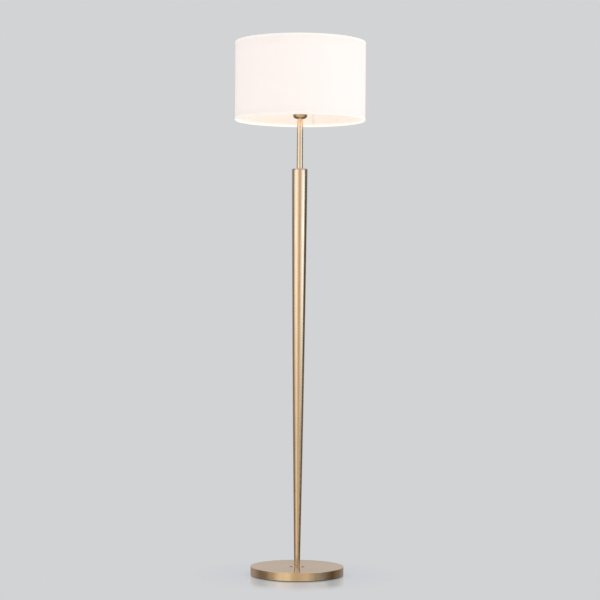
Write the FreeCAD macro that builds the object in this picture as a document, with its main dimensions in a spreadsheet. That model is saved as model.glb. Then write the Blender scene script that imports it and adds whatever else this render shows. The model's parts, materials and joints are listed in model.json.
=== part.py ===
# Floor lamp: a tapered brass column on a round weighted base, with a lampholder, a bulb and
# a fabric drum shade. Millimetres, +Z up. The origin is the centre of the face it stands on,
# and +Y points to the back, where the cable inlet is.
#
# The driving dimensions stand in a spreadsheet. Every piece is drawn from its own seat at
# its local z = 0, its sizes are bound to the sheet, and its Placement carries it to its seat.
import FreeCAD, Part
import math
import os

import Sketcher

DRIVING_SIZES = {
    # base
    "base_diameter": 270.0,
    "cover_height": 24.0,
    "cover_wall": 1.2,
    "cover_edge_radius": 1.2,
    "pad_thickness": 2.0,
    "pad_inset": 3.0,
    "weight_clearance": 0.5,
    "weight_thickness": 14.0,
    "weight_hub_diameter": 60.0,
    "weight_rim_width": 8.0,
    "recess_diameter": 44.0,
    "recess_depth": 11.0,
    "washer_diameter": 32.0,
    "washer_thickness": 2.0,
    "nut_width": 17.0,
    "nut_height": 5.0,
    "inlet_height": 6.8,
    "inlet_bore": 7.0,
    "grommet_wall": 1.4,
    "grommet_flange_width": 1.6,
    "grommet_flange_thickness": 1.5,
    "grommet_reach": 5.0,
    # threaded tubes that hold the pieces together
    "thread_diameter": 10.0,
    "lead_bore": 7.0,
    "thread_fit": 0.05,
    "tube_end_gap": 1.5,
    # column
    "flange_diameter": 43.0,
    "flange_thickness": 1.5,
    "column_height": 1150.5,
    "column_foot_diameter": 17.0,
    "column_head_diameter": 45.2,
    "column_swell": 1.4,
    "column_wall": 1.5,
    "foot_insert_length": 18.0,
    "cap_thickness": 2.0,
    "cap_spigot_length": 8.0,
    "spigot_fit": 0.15,
    # upper tube and cup
    "upper_tube_diameter": 18.0,
    "upper_tube_wall": 1.2,
    "upper_tube_length": 145.5,
    "insert_length": 16.0,
    "insert_fit": 0.05,
    "cup_clearance": 2.7,
    "cup_height": 26.0,
    "cup_floor_diameter": 18.0,
    "cup_wall": 0.8,
    "cup_nut_width": 14.0,
    "cup_nut_height": 3.0,
    # lampholder
    "holder_diameter": 37.0,
    "holder_wall": 2.0,
    "holder_cap_height": 18.0,
    "holder_neck_diameter": 18.0,
    "holder_neck_height": 6.0,
    "holder_spigot_height": 5.0,
    "lock_screw_diameter": 3.0,
    "skirt_height": 42.0,
    "skirt_thread_rise": 1.25,
    "skirt_wall": 1.0,
    "shoulder_width": 4.25,
    "shoulder_thickness": 4.0,
    "shoulder_rise": 28.0,
    "insert_flange_thickness": 1.5,
    "insert_depth": 4.0,
    "contact_height": 1.4,
    "contact_width": 6.0,
    "contact_sheet": 0.5,
    "terminal_spacing": 18.0,
    "terminal_head_diameter": 5.0,
    # screw cap of the bulb and the shell that takes it
    "screw_mean_diameter": 25.3,
    "screw_wave": 0.45,
    "screw_pitch": 3.6,
    "screw_fit": 0.3,
    "shell_turns": 6.0,
    "shell_sheet": 0.4,
    # bulb
    "bulb_length": 108.0,
    "bulb_diameter": 60.0,
    "bulb_gap": 0.3,
    "bulb_tip_diameter": 9.6,
    "bulb_tip_height": 1.3,
    "cap_turns": 5.0,
    "bulb_neck_diameter": 27.0,
    "bulb_housing_height": 40.0,
    "bulb_wall": 1.2,
    "board_thickness": 1.2,
    "board_width": 19.0,
    "board_height": 46.0,
    "led_count": 8.0,
    "led_width": 3.0,
    "led_circle": 30.0,
    # shade
    "shade_diameter": 380.0,
    "shade_height": 228.0,
    "shade_fabric": 0.5,
    "shade_liner": 0.5,
    "hem_sheet": 0.4,
    "hem_width": 6.0,
    "hem_return": 1.8,
    "seam_width": 10.0,
    "seam_sheet": 0.3,
    "seam_angle": 76.3,
    "ring_wire": 3.5,
    "arm_wire": 3.2,
    "arm_bend": 8.0,
    "arm_foot_length": 4.0,
    "weld_gap": 0.05,
    "fitter_rise": 55.0,
    "fitter_clearance": 0.45,
    "fitter_width": 12.8,
    "fitter_thickness": 1.5,
    # clamp ring
    "clamp_gap": 0.3,
    "clamp_height": 7.0,
    "clamp_width": 6.7,
    "clamp_fit": 0.05,
    "grip_notch": 3.0,
    "grip_count": 16.0,
}

ARM_COUNT = 3
ARM_START_ANGLE = 90.0

document = FreeCAD.newDocument("floor_lamp")
pieces = []


class Size:
    """A number in millimetres that also carries its spreadsheet expression."""

    def __init__(self, value, text):
        self.value = float(value)
        self.text = text

    def __add__(self, other):
        other = as_size(other)
        return Size(self.value + other.value, f"({self.text} + {other.text})")

    def __sub__(self, other):
        other = as_size(other)
        return Size(self.value - other.value, f"({self.text} - {other.text})")

    def __mul__(self, other):
        other = as_size(other)
        return Size(self.value * other.value, f"({self.text} * {other.text})")

    def __truediv__(self, other):
        other = as_size(other)
        return Size(self.value / other.value, f"({self.text} / {other.text})")

    def root(self):
        return Size(math.sqrt(self.value), f"sqrt({self.text})")


def as_size(number):
    if isinstance(number, Size):
        return number
    return Size(number, repr(float(number)))


class Sheet:
    """The spreadsheet of driving dimensions; sheet.word gives the size with that alias."""

    def __init__(self, sizes):
        self.table = document.addObject("Spreadsheet::Sheet", "Sizes")
        for row, (alias, number) in enumerate(sizes.items(), start=1):
            self.table.set(f"A{row}", alias)
            self.table.set(f"B{row}", str(number))
            self.table.setAlias(f"B{row}", alias)
            setattr(self, alias, Size(number, f"Sizes.{alias}"))
        document.recompute()


s = Sheet(DRIVING_SIZES)


# ---------------------------------------------------------------- helpers

def bind(thing, name, size):
    thing.setExpression(name, as_size(size).text)


def keep(thing, label):
    """Name a finished sub-part: its label is its node and its file."""
    thing.Label = label
    pieces.append(thing)
    return thing


def seat(thing, x=0, y=0, z=0):
    """Carry a piece to its seat without turning it."""
    for axis, place in (("x", x), ("y", y), ("z", z)):
        bind(thing, f"Placement.Base.{axis}", place)
    return thing


def origin_plane(body, role):
    return next(plane for plane in body.Origin.OriginFeatures if plane.Role == role)


def new_sketch(body, name, role):
    sketch = body.newObject("Sketcher::SketchObject", name)
    sketch.AttachmentSupport = [(origin_plane(body, role), "")]
    sketch.MapMode = "FlatFace"
    return sketch


def pin_point(sketch, edge, end, x, y):
    """Hold one end of an edge at (x, y), bound to the sheet."""
    for kind, axis, place in (("DistanceX", -2, as_size(x)), ("DistanceY", -1, as_size(y))):
        if place.value == 0:
            sketch.addConstraint(Sketcher.Constraint("PointOnObject", edge, end, axis))
            continue
        number = sketch.addConstraint(
            Sketcher.Constraint(kind, -1, 1, edge, end, place.value))
        bind(sketch, f"Constraints[{number}]", place)


def add_arc(sketch, start, end, radius, side):
    """Add the short arc from start to end; side +1 bulges to the right of the way along."""
    chord = end - start
    reach = math.sqrt(radius.value ** 2 - (chord.Length / 2) ** 2)
    left = FreeCAD.Vector(-chord.y, chord.x, 0).normalize()
    centre = (start + end) * 0.5 + left * (reach * side)
    first, last = (start, end) if side > 0 else (end, start)
    angles = [math.atan2(p.y - centre.y, p.x - centre.x) for p in (first, last)]
    circle = Part.Circle(centre, FreeCAD.Vector(0, 0, 1), radius.value)
    edge = sketch.addGeometry(Part.ArcOfCircle(circle, *angles), False)
    number = sketch.addConstraint(Sketcher.Constraint("Radius", edge, radius.value))
    bind(sketch, f"Constraints[{number}]", radius)
    return (edge, 1, 2) if side > 0 else (edge, 2, 1)


def draw(sketch, corners, closed=True):
    """Draw an outline. A corner is (x, y), or (x, y, radius, side) where an arc leaves it."""
    points = [FreeCAD.Vector(as_size(c[0]).value, as_size(c[1]).value, 0) for c in corners]
    spans = len(corners) if closed else len(corners) - 1
    edges = []
    for index in range(spans):
        start = points[index]
        end = points[(index + 1) % len(points)]
        if len(corners[index]) == 4:
            edges.append(add_arc(sketch, start, end, as_size(corners[index][2]), corners[index][3]))
        else:
            edges.append((sketch.addGeometry(Part.LineSegment(start, end), False), 1, 2))
    for index, (edge, first, last) in enumerate(edges):
        pin_point(sketch, edge, first, corners[index][0], corners[index][1])
        if closed or index + 1 < spans:
            following = edges[(index + 1) % spans]
            sketch.addConstraint(
                Sketcher.Constraint("Coincident", edge, last, following[0], following[1]))
    if not closed:
        pin_point(sketch, edges[-1][0], edges[-1][2], corners[-1][0], corners[-1][1])


def draw_circle(sketch, x, y, radius):
    radius = as_size(radius)
    centre = FreeCAD.Vector(as_size(x).value, as_size(y).value, 0)
    edge = sketch.addGeometry(
        Part.Circle(centre, FreeCAD.Vector(0, 0, 1), radius.value), False)
    pin_point(sketch, edge, 3, x, y)
    number = sketch.addConstraint(Sketcher.Constraint("Radius", edge, radius.value))
    bind(sketch, f"Constraints[{number}]", radius)


def turned(label, corners):
    """A body turned about the Z axis from an outline of (radius, height) corners."""
    body = keep(document.addObject("PartDesign::Body", label), label)
    sketch = new_sketch(body, f"{label}_outline", "XZ_Plane")
    draw(sketch, corners)
    turning = body.newObject("PartDesign::Revolution", f"{label}_turned")
    turning.Profile = sketch
    turning.ReferenceAxis = (sketch, ["V_Axis"])
    turning.Angle = 360
    sketch.Visibility = False
    return body


def ring_outline(bore, diameter, height):
    """Corners of a plain washer or tube section, counter-clockwise."""
    return [(bore / 2, 0), (diameter / 2, 0), (diameter / 2, height), (bore / 2, height)]


def pocket(body, name, role, draw_shape, length, reverse=False):
    """Cut a sketched shape out of a body, from an origin plane over a length."""
    document.recompute()
    before = body.Shape.Volume
    sketch = new_sketch(body, f"{name}_outline", role)
    draw_shape(sketch)
    cutter = body.newObject("PartDesign::Pocket", name)
    cutter.Profile = sketch
    cutter.Reversed = reverse
    bind(cutter, "Length", length)
    document.recompute()
    if not body.Shape.Volume < before:
        raise RuntimeError(f"{name} cuts nothing")
    return cutter


def hex_nut(label, width, height, bore):
    blank = document.addObject("Part::Prism", f"{label}_blank")
    blank.Polygon = 6
    bind(blank, "Circumradius", width / as_size(3).root())
    bind(blank, "Height", height)
    hole = document.addObject("Part::Cylinder", f"{label}_hole")
    bind(hole, "Radius", bore / 2)
    bind(hole, "Height", height)
    nut = document.addObject("Part::Cut", label)
    nut.Base = blank
    nut.Tool = hole
    return keep(nut, label)


def group(label, members):
    """One node that holds several separate, identical solids."""
    gathered = document.addObject("Part::Compound", label)
    gathered.Links = members
    return keep(gathered, label)


# ---------------------------------------------------------------- places up the lamp

thread_bore = s.thread_diameter + s.thread_fit * 2

cover_foot_z = s.pad_thickness
base_top_z = cover_foot_z + s.cover_height
column_foot_z = base_top_z + s.flange_thickness
column_head_z = column_foot_z + s.column_height
upper_tube_z = column_head_z + s.cap_thickness
cup_z = upper_tube_z + s.upper_tube_length
cup_floor_z = cup_z + s.cup_wall
holder_z = cup_floor_z + s.cup_nut_height
skirt_z = holder_z + s.holder_cap_height
insert_seat_z = skirt_z + s.holder_spigot_height
shell_z = insert_seat_z + s.insert_flange_thickness
shoulder_z = skirt_z + s.shoulder_rise
shade_z = shoulder_z - s.fitter_rise
bulb_z = shell_z + s.contact_height + s.bulb_gap

cup_diameter = s.holder_diameter + (s.cup_clearance + s.cup_wall) * 2
skirt_bore = s.holder_diameter - s.skirt_wall * 2
skirt_thread_diameter = s.holder_diameter + s.skirt_thread_rise * 2
shoulder_diameter = skirt_thread_diameter + s.shoulder_width * 2
fitter_bore = skirt_thread_diameter + s.fitter_clearance * 2
fitter_diameter = fitter_bore + s.fitter_width * 2
clamp_bore = skirt_thread_diameter + s.clamp_fit * 2
clamp_diameter = clamp_bore + s.clamp_width * 2


# ---------------------------------------------------------------- base

def make_base_pad():
    """The soft disc under the weight that the lamp stands on."""
    diameter = s.base_diameter - s.pad_inset * 2
    turned("base_pad", [(0, 0), (diameter / 2, 0), (diameter / 2, s.pad_thickness),
                        (0, s.pad_thickness)])


def make_base_cover():
    """The spun cover: a flat top with a rounded edge, a straight wall and a cable hole."""
    outer = s.base_diameter / 2
    inner = outer - s.cover_wall
    ceiling = s.cover_height - s.cover_wall
    cover = turned("base_cover", [
        (inner, 0),
        (outer, 0),
        (outer, s.cover_height - s.cover_edge_radius, s.cover_edge_radius, 1),
        (outer - s.cover_edge_radius, s.cover_height),
        (thread_bore / 2, s.cover_height),
        (thread_bore / 2, ceiling),
        (inner, ceiling),
    ])
    pocket(cover, "cover_cable_hole", "XZ_Plane",
           lambda sketch: draw_circle(sketch, 0, s.inlet_height,
                                      s.inlet_bore / 2 + s.grommet_wall + s.thread_fit),
           outer + 1)
    seat(cover, z=cover_foot_z)


def make_base_weight():
    """The cast disc: a hub and a rim carry the cover, and a groove underneath the cable."""
    outer = s.base_diameter / 2 - s.cover_wall - s.weight_clearance
    ceiling = s.cover_height - s.cover_wall
    weight = turned("base_weight", [
        (s.recess_diameter / 2, 0),
        (outer, 0),
        (outer, ceiling),
        (outer - s.weight_rim_width, ceiling),
        (outer - s.weight_rim_width, s.weight_thickness),
        (s.weight_hub_diameter / 2, s.weight_thickness),
        (s.weight_hub_diameter / 2, ceiling),
        (thread_bore / 2, ceiling),
        (thread_bore / 2, s.recess_depth),
        (s.recess_diameter / 2, s.recess_depth),
    ])
    half = s.inlet_bore / 2 + s.grommet_wall * 2
    top = s.inlet_height + half

    def groove(sketch):
        # a square-cornered channel, open below
        draw(sketch, [(half * -1, 0), (half, 0), (half, top), (half * -1, top)])

    pocket(weight, "weight_cable_groove", "XZ_Plane", groove, outer + 1)
    seat(weight, z=cover_foot_z)


def make_cable_grommet():
    """The flanged bush that lines the cable hole in the cover's back."""
    neck = s.inlet_bore / 2 + s.grommet_wall
    flange = neck + s.grommet_flange_width
    grommet = turned("cable_grommet", [
        (s.inlet_bore / 2, 0),
        (neck, 0),
        (neck, s.grommet_reach),
        (flange, s.grommet_reach),
        (flange, s.grommet_reach + s.grommet_flange_thickness),
        (s.inlet_bore / 2, s.grommet_reach + s.grommet_flange_thickness),
    ])
    grommet.Placement = FreeCAD.Placement(
        FreeCAD.Vector(0, 0, 0), FreeCAD.Rotation(FreeCAD.Vector(1, 0, 0), -90))
    seat(grommet, y=s.base_diameter / 2 - s.grommet_reach, z=cover_foot_z + s.inlet_height)


def make_base_fastening():
    """The washer and nut in the weight's recess."""
    washer_z = cover_foot_z + s.recess_depth - s.washer_thickness
    washer = turned("base_washer", ring_outline(thread_bore, s.washer_diameter,
                                                s.washer_thickness))
    seat(washer, z=washer_z)
    seat(hex_nut("base_nut", s.nut_width, s.nut_height, thread_bore), z=washer_z - s.nut_height)


def make_foot_flange():
    """The thin round plate between the base and the column."""
    flange = turned("foot_flange", ring_outline(thread_bore, s.flange_diameter,
                                                s.flange_thickness))
    seat(flange, z=base_top_z)


# ---------------------------------------------------------------- column

def make_column_tube():
    """The tapered tube, wide at the top, whose sides swell a little along one arc."""
    foot = s.column_foot_diameter / 2
    head = s.column_head_diameter / 2
    chord = (s.column_height * s.column_height + (head - foot) * (head - foot)).root()
    swell_radius = (chord * chord / 4 + s.column_swell * s.column_swell) / (s.column_swell * 2)
    tube = turned("column_tube", [
        (foot, 0, swell_radius, 1),
        (head, s.column_height),
        (head - s.column_wall, s.column_height, swell_radius, -1),
        (foot - s.column_wall, 0),
    ])
    seat(tube, z=column_foot_z)


def make_column_ends():
    """The plug in the column's foot and the cap in its head."""
    plug = s.column_foot_diameter - s.column_wall * 2 - s.insert_fit * 2
    insert = turned("column_foot_insert", ring_outline(thread_bore, plug, s.foot_insert_length))
    seat(insert, z=column_foot_z)
    head = s.column_head_diameter / 2
    spigot = head - s.column_wall - s.spigot_fit
    top = s.cap_spigot_length + s.cap_thickness
    cap = turned("column_top_cap", [
        (thread_bore / 2, 0),
        (spigot, 0),
        (spigot, s.cap_spigot_length),
        (head, s.cap_spigot_length),
        (head, top),
        (thread_bore / 2, top),
    ])
    seat(cap, z=column_head_z - s.cap_spigot_length)


def make_tie_tube():
    """The long threaded tube that pulls base, column and upper tube together."""
    foot_z = cover_foot_z + s.recess_depth - s.washer_thickness - s.nut_height - s.tube_end_gap
    length = upper_tube_z + s.insert_length - s.tube_end_gap - foot_z
    tube = turned("tie_tube", ring_outline(s.lead_bore, s.thread_diameter, length))
    seat(tube, z=foot_z)


# ---------------------------------------------------------------- upper tube and cup

def make_upper_tube():
    """The slim tube above the column, with a threaded insert in each end."""
    inner = s.upper_tube_diameter - s.upper_tube_wall * 2
    tube = turned("upper_tube", ring_outline(inner, s.upper_tube_diameter, s.upper_tube_length))
    seat(tube, z=upper_tube_z)
    for label, z in (("upper_tube_foot_insert", upper_tube_z),
                     ("upper_tube_head_insert", cup_z - s.insert_length)):
        insert = turned(label, ring_outline(thread_bore, inner - s.insert_fit * 2,
                                            s.insert_length))
        seat(insert, z=z)


def make_socket_cup():
    """The spun cup under the lampholder: a flat floor, a round bottom and a straight wall."""
    outer = cup_diameter / 2
    floor = s.cup_floor_diameter / 2
    curve = outer - floor
    curve_inside = curve - s.cup_wall
    cup = turned("socket_cup", [
        (thread_bore / 2, 0),
        (floor, 0, curve, 1),
        (outer, curve),
        (outer, s.cup_height),
        (outer - s.cup_wall, s.cup_height),
        (outer - s.cup_wall, curve, curve_inside, -1),
        (floor, s.cup_wall),
        (thread_bore / 2, s.cup_wall),
    ])
    seat(cup, z=cup_z)
    seat(hex_nut("cup_nut", s.cup_nut_width, s.cup_nut_height, thread_bore), z=cup_floor_z)


def make_head_nipple():
    """The short threaded tube through the upper tube's head, the cup and the lampholder."""
    foot_z = cup_z - s.insert_length + s.tube_end_gap
    length = holder_z + s.holder_neck_height + s.tube_end_gap - foot_z
    nipple = turned("head_nipple", ring_outline(s.lead_bore, s.thread_diameter, length))
    seat(nipple, z=foot_z)


# ---------------------------------------------------------------- lampholder

def make_holder_cap():
    """The lampholder's lower shell: a threaded neck, a sloping wall and a spigot."""
    neck = s.holder_neck_diameter / 2
    outer = s.holder_diameter / 2
    spigot = skirt_bore / 2 - s.insert_fit
    inner = spigot - s.holder_wall
    slope_top = s.holder_neck_height * 2
    top = s.holder_cap_height + s.holder_spigot_height
    cap = turned("holder_cap", [
        (thread_bore / 2, 0),
        (neck, 0),
        (neck, s.holder_neck_height),
        (outer, slope_top),
        (outer, s.holder_cap_height),
        (spigot, s.holder_cap_height),
        (spigot, top),
        (inner, top),
        (inner, slope_top + s.holder_wall),
        (neck, s.holder_neck_height + s.holder_wall),
        (thread_bore / 2, s.holder_neck_height + s.holder_wall),
    ])
    pocket(cap, "lock_screw_hole", "YZ_Plane",
           lambda sketch: draw_circle(sketch, 0, s.holder_neck_height / 2,
                                      s.lock_screw_diameter / 2 + s.thread_fit),
           outer, reverse=True)
    seat(cap, z=holder_z)


def make_holder_lock_screw():
    """The small set screw that stops the lampholder turning on its nipple."""
    length = (s.holder_neck_diameter - s.thread_diameter) / 2
    screw = turned("holder_lock_screw", [
        (0, 0), (s.lock_screw_diameter / 2, 0), (s.lock_screw_diameter / 2, length), (0, length)])
    screw.Placement = FreeCAD.Placement(
        FreeCAD.Vector(0, 0, 0), FreeCAD.Rotation(FreeCAD.Vector(0, 1, 0), 90))
    seat(screw, x=s.thread_diameter / 2 + s.thread_fit, z=holder_z + s.holder_neck_height / 2)


def make_holder_insert():
    """The insulating disc that carries the contacts, seated on the cap's spigot."""
    spigot = skirt_bore / 2 - s.insert_fit
    body_radius = spigot - s.holder_wall - s.spigot_fit
    insert = turned("holder_insert", [
        (0, 0),
        (body_radius, 0),
        (body_radius, s.insert_depth),
        (spigot, s.insert_depth),
        (spigot, s.insert_depth + s.insert_flange_thickness),
        (0, s.insert_depth + s.insert_flange_thickness),
    ])
    seat(insert, z=insert_seat_z - s.insert_depth)


def make_centre_contact():
    """The springy tongue under the bulb's tip: a foot, a rising bend and a flat pad."""
    body = keep(document.addObject("PartDesign::Body", "holder_centre_contact"),
                "holder_centre_contact")
    sketch = new_sketch(body, "contact_outline", "XZ_Plane")
    sheet = s.contact_sheet
    lift = s.contact_height
    draw(sketch, [
        (s.contact_width * 1.5, 0),
        (s.contact_width * 1.5, sheet),
        (s.contact_width * 0.8, sheet),
        (s.contact_width * 0.5, lift),
        (s.contact_width * -0.5, lift),
        (s.contact_width * -0.5, lift - sheet),
        (s.contact_width * 0.4, lift - sheet),
        (s.contact_width * 0.7, 0),
    ])
    pad = body.newObject("PartDesign::Pad", "contact_strip")
    pad.Profile = sketch
    pad.Midplane = True
    bind(pad, "Length", s.contact_width)
    seat(body, z=shell_z)


def make_terminal_screws():
    """The two terminal screws under the insert."""
    screws = []
    for side in (-1, 1):
        screw = document.addObject("Part::Cylinder", f"terminal_screw_{len(screws) + 1}")
        bind(screw, "Radius", s.terminal_head_diameter / 2)
        bind(screw, "Height", s.contact_height)
        seat(screw, y=s.terminal_spacing / 2 * side,
             z=insert_seat_z - s.insert_depth - s.contact_height)
        screws.append(screw)
    group("terminal_screws", screws)


def wave(radius, turns, upward):
    """Corners of a rolled thread: half-pitch arcs that bulge out and in by turns."""
    # an arc over half a pitch that rises by the wave has this radius
    half_pitch = s.screw_pitch / 2
    wave_square = s.screw_wave * s.screw_wave
    arc = (half_pitch * half_pitch / 4 + wave_square) / (s.screw_wave * 2)
    spans = turns * 2
    corners = []
    for step in range(spans):
        place = step if upward else spans - step
        span = step if upward else spans - step - 1
        bulge = 1 if span % 2 == 0 else -1
        corners.append((radius, half_pitch * place, arc, bulge if upward else -bulge))
    return corners


def make_screw_shell():
    """The brass shell that takes the bulb's screw cap, rolled to its thread."""
    inside = s.screw_mean_diameter / 2 + s.screw_fit
    outside = inside + s.shell_sheet
    turns = int(s.shell_turns.value)
    top = s.screw_pitch * turns
    shell = turned("holder_screw_shell",
                   wave(outside, turns, True) + [(outside, top)]
                   + wave(inside, turns, False) + [(inside, 0)])
    seat(shell, z=shell_z)


def make_holder_skirt():
    """The lampholder's upper shell, with the shoulder and thread that hold the shade."""
    inner = skirt_bore / 2
    outer = s.holder_diameter / 2
    thread = skirt_thread_diameter / 2
    shoulder = shoulder_diameter / 2
    skirt = turned("holder_skirt", [
        (inner, 0),
        (outer, 0),
        (outer, s.shoulder_rise - s.shoulder_thickness),
        (shoulder, s.shoulder_rise - s.shoulder_thickness),
        (shoulder, s.shoulder_rise),
        (thread, s.shoulder_rise),
        (thread, s.skirt_height),
        (inner, s.skirt_height),
    ])
    seat(skirt, z=skirt_z)


# ---------------------------------------------------------------- bulb

# the insulator is as tall as brings the bulb's thread in step with the shell's, two pitches up
insulator_height = s.screw_pitch * 2 - s.contact_height - s.bulb_gap - s.bulb_tip_height
bulb_tip_top = s.bulb_tip_height
bulb_cap_foot = bulb_tip_top + insulator_height
bulb_cap_head = bulb_cap_foot + s.screw_pitch * s.cap_turns
bulb_seam = bulb_cap_head + s.bulb_housing_height
# the globe is a ball cut off below its middle, which gives the width of its open rim
globe_radius = s.bulb_diameter / 2
globe_centre = s.bulb_length - bulb_seam - globe_radius


def globe_rim(radius):
    """Radius of the cut-off ball's open rim, for the outer or the inner ball."""
    return (radius * radius - globe_centre * globe_centre).root()


def make_bulb_base():
    """The contact at the tip, the insulator round it and the rolled screw cap."""
    tip = turned("bulb_contact", [
        (0, 0), (s.bulb_tip_diameter / 4, 0),
        (s.bulb_tip_diameter / 2, bulb_tip_top), (0, bulb_tip_top)])
    seat(tip, z=bulb_z)
    cap_inside = s.screw_mean_diameter / 2 - s.screw_wave - s.shell_sheet
    insulator = turned("bulb_insulator", [
        (0, 0), (s.bulb_tip_diameter / 2, 0), (cap_inside, insulator_height),
        (0, insulator_height)])
    seat(insulator, z=bulb_z + bulb_tip_top)
    turns = int(s.cap_turns.value)
    length = s.screw_pitch * turns
    cap = turned("bulb_screw_cap",
                 wave(s.screw_mean_diameter / 2, turns, True)
                 + [(s.screw_mean_diameter / 2, length), (cap_inside, length), (cap_inside, 0)])
    seat(cap, z=bulb_z + bulb_cap_foot)


def make_bulb_housing():
    """The plastic cone between the screw cap and the globe, hollow and open above."""
    neck = s.bulb_neck_diameter / 2
    wide = globe_rim(globe_radius)
    skirt_clear = skirt_bore / 2 - s.bulb_wall
    narrow_top = skirt_z + s.skirt_height - bulb_z - bulb_cap_head
    height = s.bulb_housing_height
    housing = turned("bulb_housing", [
        (neck - s.bulb_wall, 0),
        (neck, 0),
        (skirt_clear, narrow_top),
        (wide, height),
        (wide - s.bulb_wall, height),
        (skirt_clear - s.bulb_wall, narrow_top),
    ])
    seat(housing, z=bulb_z + bulb_cap_head)


def make_bulb_inside():
    """The driver board that stands in the screw cap and the plate that carries the lights."""
    board = document.addObject("Part::Box", "bulb_driver_board")
    bind(board, "Length", s.board_width)
    bind(board, "Width", s.board_thickness)
    bind(board, "Height", s.board_height)
    seat(keep(board, "bulb_driver_board"), x=s.board_width * -0.5, y=s.board_thickness * -0.5,
         z=bulb_z + bulb_cap_foot)
    plate_radius = globe_rim(globe_radius) - s.bulb_wall * 1.5
    plate = turned("bulb_led_plate", [
        (0, 0), (plate_radius, 0), (plate_radius, s.bulb_wall), (0, s.bulb_wall)])
    seat(plate, z=bulb_z + bulb_seam - s.bulb_wall)
    lights = []
    count = int(s.led_count.value)
    for index in range(count):
        turn = 2 * math.pi * index / count
        light = document.addObject("Part::Box", f"bulb_led_{index + 1}")
        bind(light, "Length", s.led_width)
        bind(light, "Width", s.led_width)
        bind(light, "Height", s.bulb_wall / 2)
        seat(light, x=s.led_circle / 2 * math.cos(turn) - s.led_width / 2,
             y=s.led_circle / 2 * math.sin(turn) - s.led_width / 2,
             z=bulb_z + bulb_seam)
        lights.append(light)
    group("bulb_leds", lights)


def make_bulb_globe():
    """The opal globe: one wide arc from the housing's rim to the crown."""
    inner = globe_radius - s.bulb_wall
    globe = turned("bulb_globe", [
        (globe_rim(inner), 0),
        (globe_rim(globe_radius), 0, globe_radius, 1),
        (0, globe_centre + globe_radius),
        (0, globe_centre + inner, inner, -1),
    ])
    seat(globe, z=bulb_z + bulb_seam)


# ---------------------------------------------------------------- shade

shade_outer = s.shade_diameter / 2
fabric_outer = shade_outer - s.hem_sheet
liner_outer = fabric_outer - s.shade_fabric
liner_inner = liner_outer - s.shade_liner
ring_circle = liner_inner - s.ring_wire / 2
ring_low_z = s.hem_sheet + s.ring_wire / 2
ring_high_z = s.shade_height - ring_low_z


def make_shade_cover():
    """The fabric and the stiff liner it is glued to, two thin open cylinders."""
    height = s.shade_height - s.hem_sheet * 2
    for label, inner, outer in (("shade_fabric", liner_outer, fabric_outer),
                                ("shade_liner", liner_inner, liner_outer)):
        seat(turned(label, ring_outline(inner * 2, outer * 2, height)), z=shade_z + s.hem_sheet)


def make_shade_hems():
    """The folded tape over each rim: a long leg outside and a leg inside the wire."""
    inside = ring_circle - s.ring_wire / 2
    for label, inner_leg, z in (("shade_bottom_hem", s.hem_width, shade_z),
                                ("shade_top_hem", s.hem_return, shade_z + s.shade_height)):
        hem = turned(label, [
            (inside - s.hem_sheet, 0),
            (shade_outer, 0),
            (shade_outer, s.hem_width),
            (fabric_outer, s.hem_width),
            (fabric_outer, s.hem_sheet),
            (inside, s.hem_sheet),
            (inside, inner_leg),
            (inside - s.hem_sheet, inner_leg),
        ])
        if label == "shade_top_hem":
            hem.Placement = FreeCAD.Placement(
                FreeCAD.Vector(0, 0, 0), FreeCAD.Rotation(FreeCAD.Vector(1, 0, 0), 180))
        seat(hem, z=z)


def make_shade_rings():
    """The wire hoops that hold the shade round at its two rims."""
    for label, height in (("shade_bottom_ring", ring_low_z), ("shade_top_ring", ring_high_z)):
        hoop = document.addObject("Part::Torus", label)
        bind(hoop, "Radius1", ring_circle)
        bind(hoop, "Radius2", s.ring_wire / 2)
        seat(keep(hoop, label), z=shade_z + height)


def make_shade_seam():
    """The narrow overlap strip down the back, where the fabric's two ends are glued."""
    height = s.shade_height - s.hem_width * 2
    cylinders = []
    for name, radius in (("seam_face", fabric_outer + s.seam_sheet), ("seam_back", fabric_outer)):
        cylinder = document.addObject("Part::Cylinder", name)
        bind(cylinder, "Radius", radius)
        bind(cylinder, "Height", height)
        bind(cylinder, "Angle", s.seam_width / fabric_outer * (180 / math.pi))
        cylinders.append(cylinder)
    seam = document.addObject("Part::Cut", "shade_seam")
    seam.Base, seam.Tool = cylinders
    seam.Placement = FreeCAD.Placement(
        FreeCAD.Vector(0, 0, 0), FreeCAD.Rotation(FreeCAD.Vector(0, 0, 1), s.seam_angle.value))
    bind(seam, "Placement.Rotation.Angle", s.seam_angle)
    seat(keep(seam, "shade_seam"), z=shade_z + s.hem_width)


def make_fitter_ring():
    """The flat ring that sits on the lampholder's shoulder."""
    fitter = turned("shade_fitter_ring",
                    ring_outline(fitter_bore, fitter_diameter, s.fitter_thickness))
    seat(fitter, z=shoulder_z)


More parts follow.
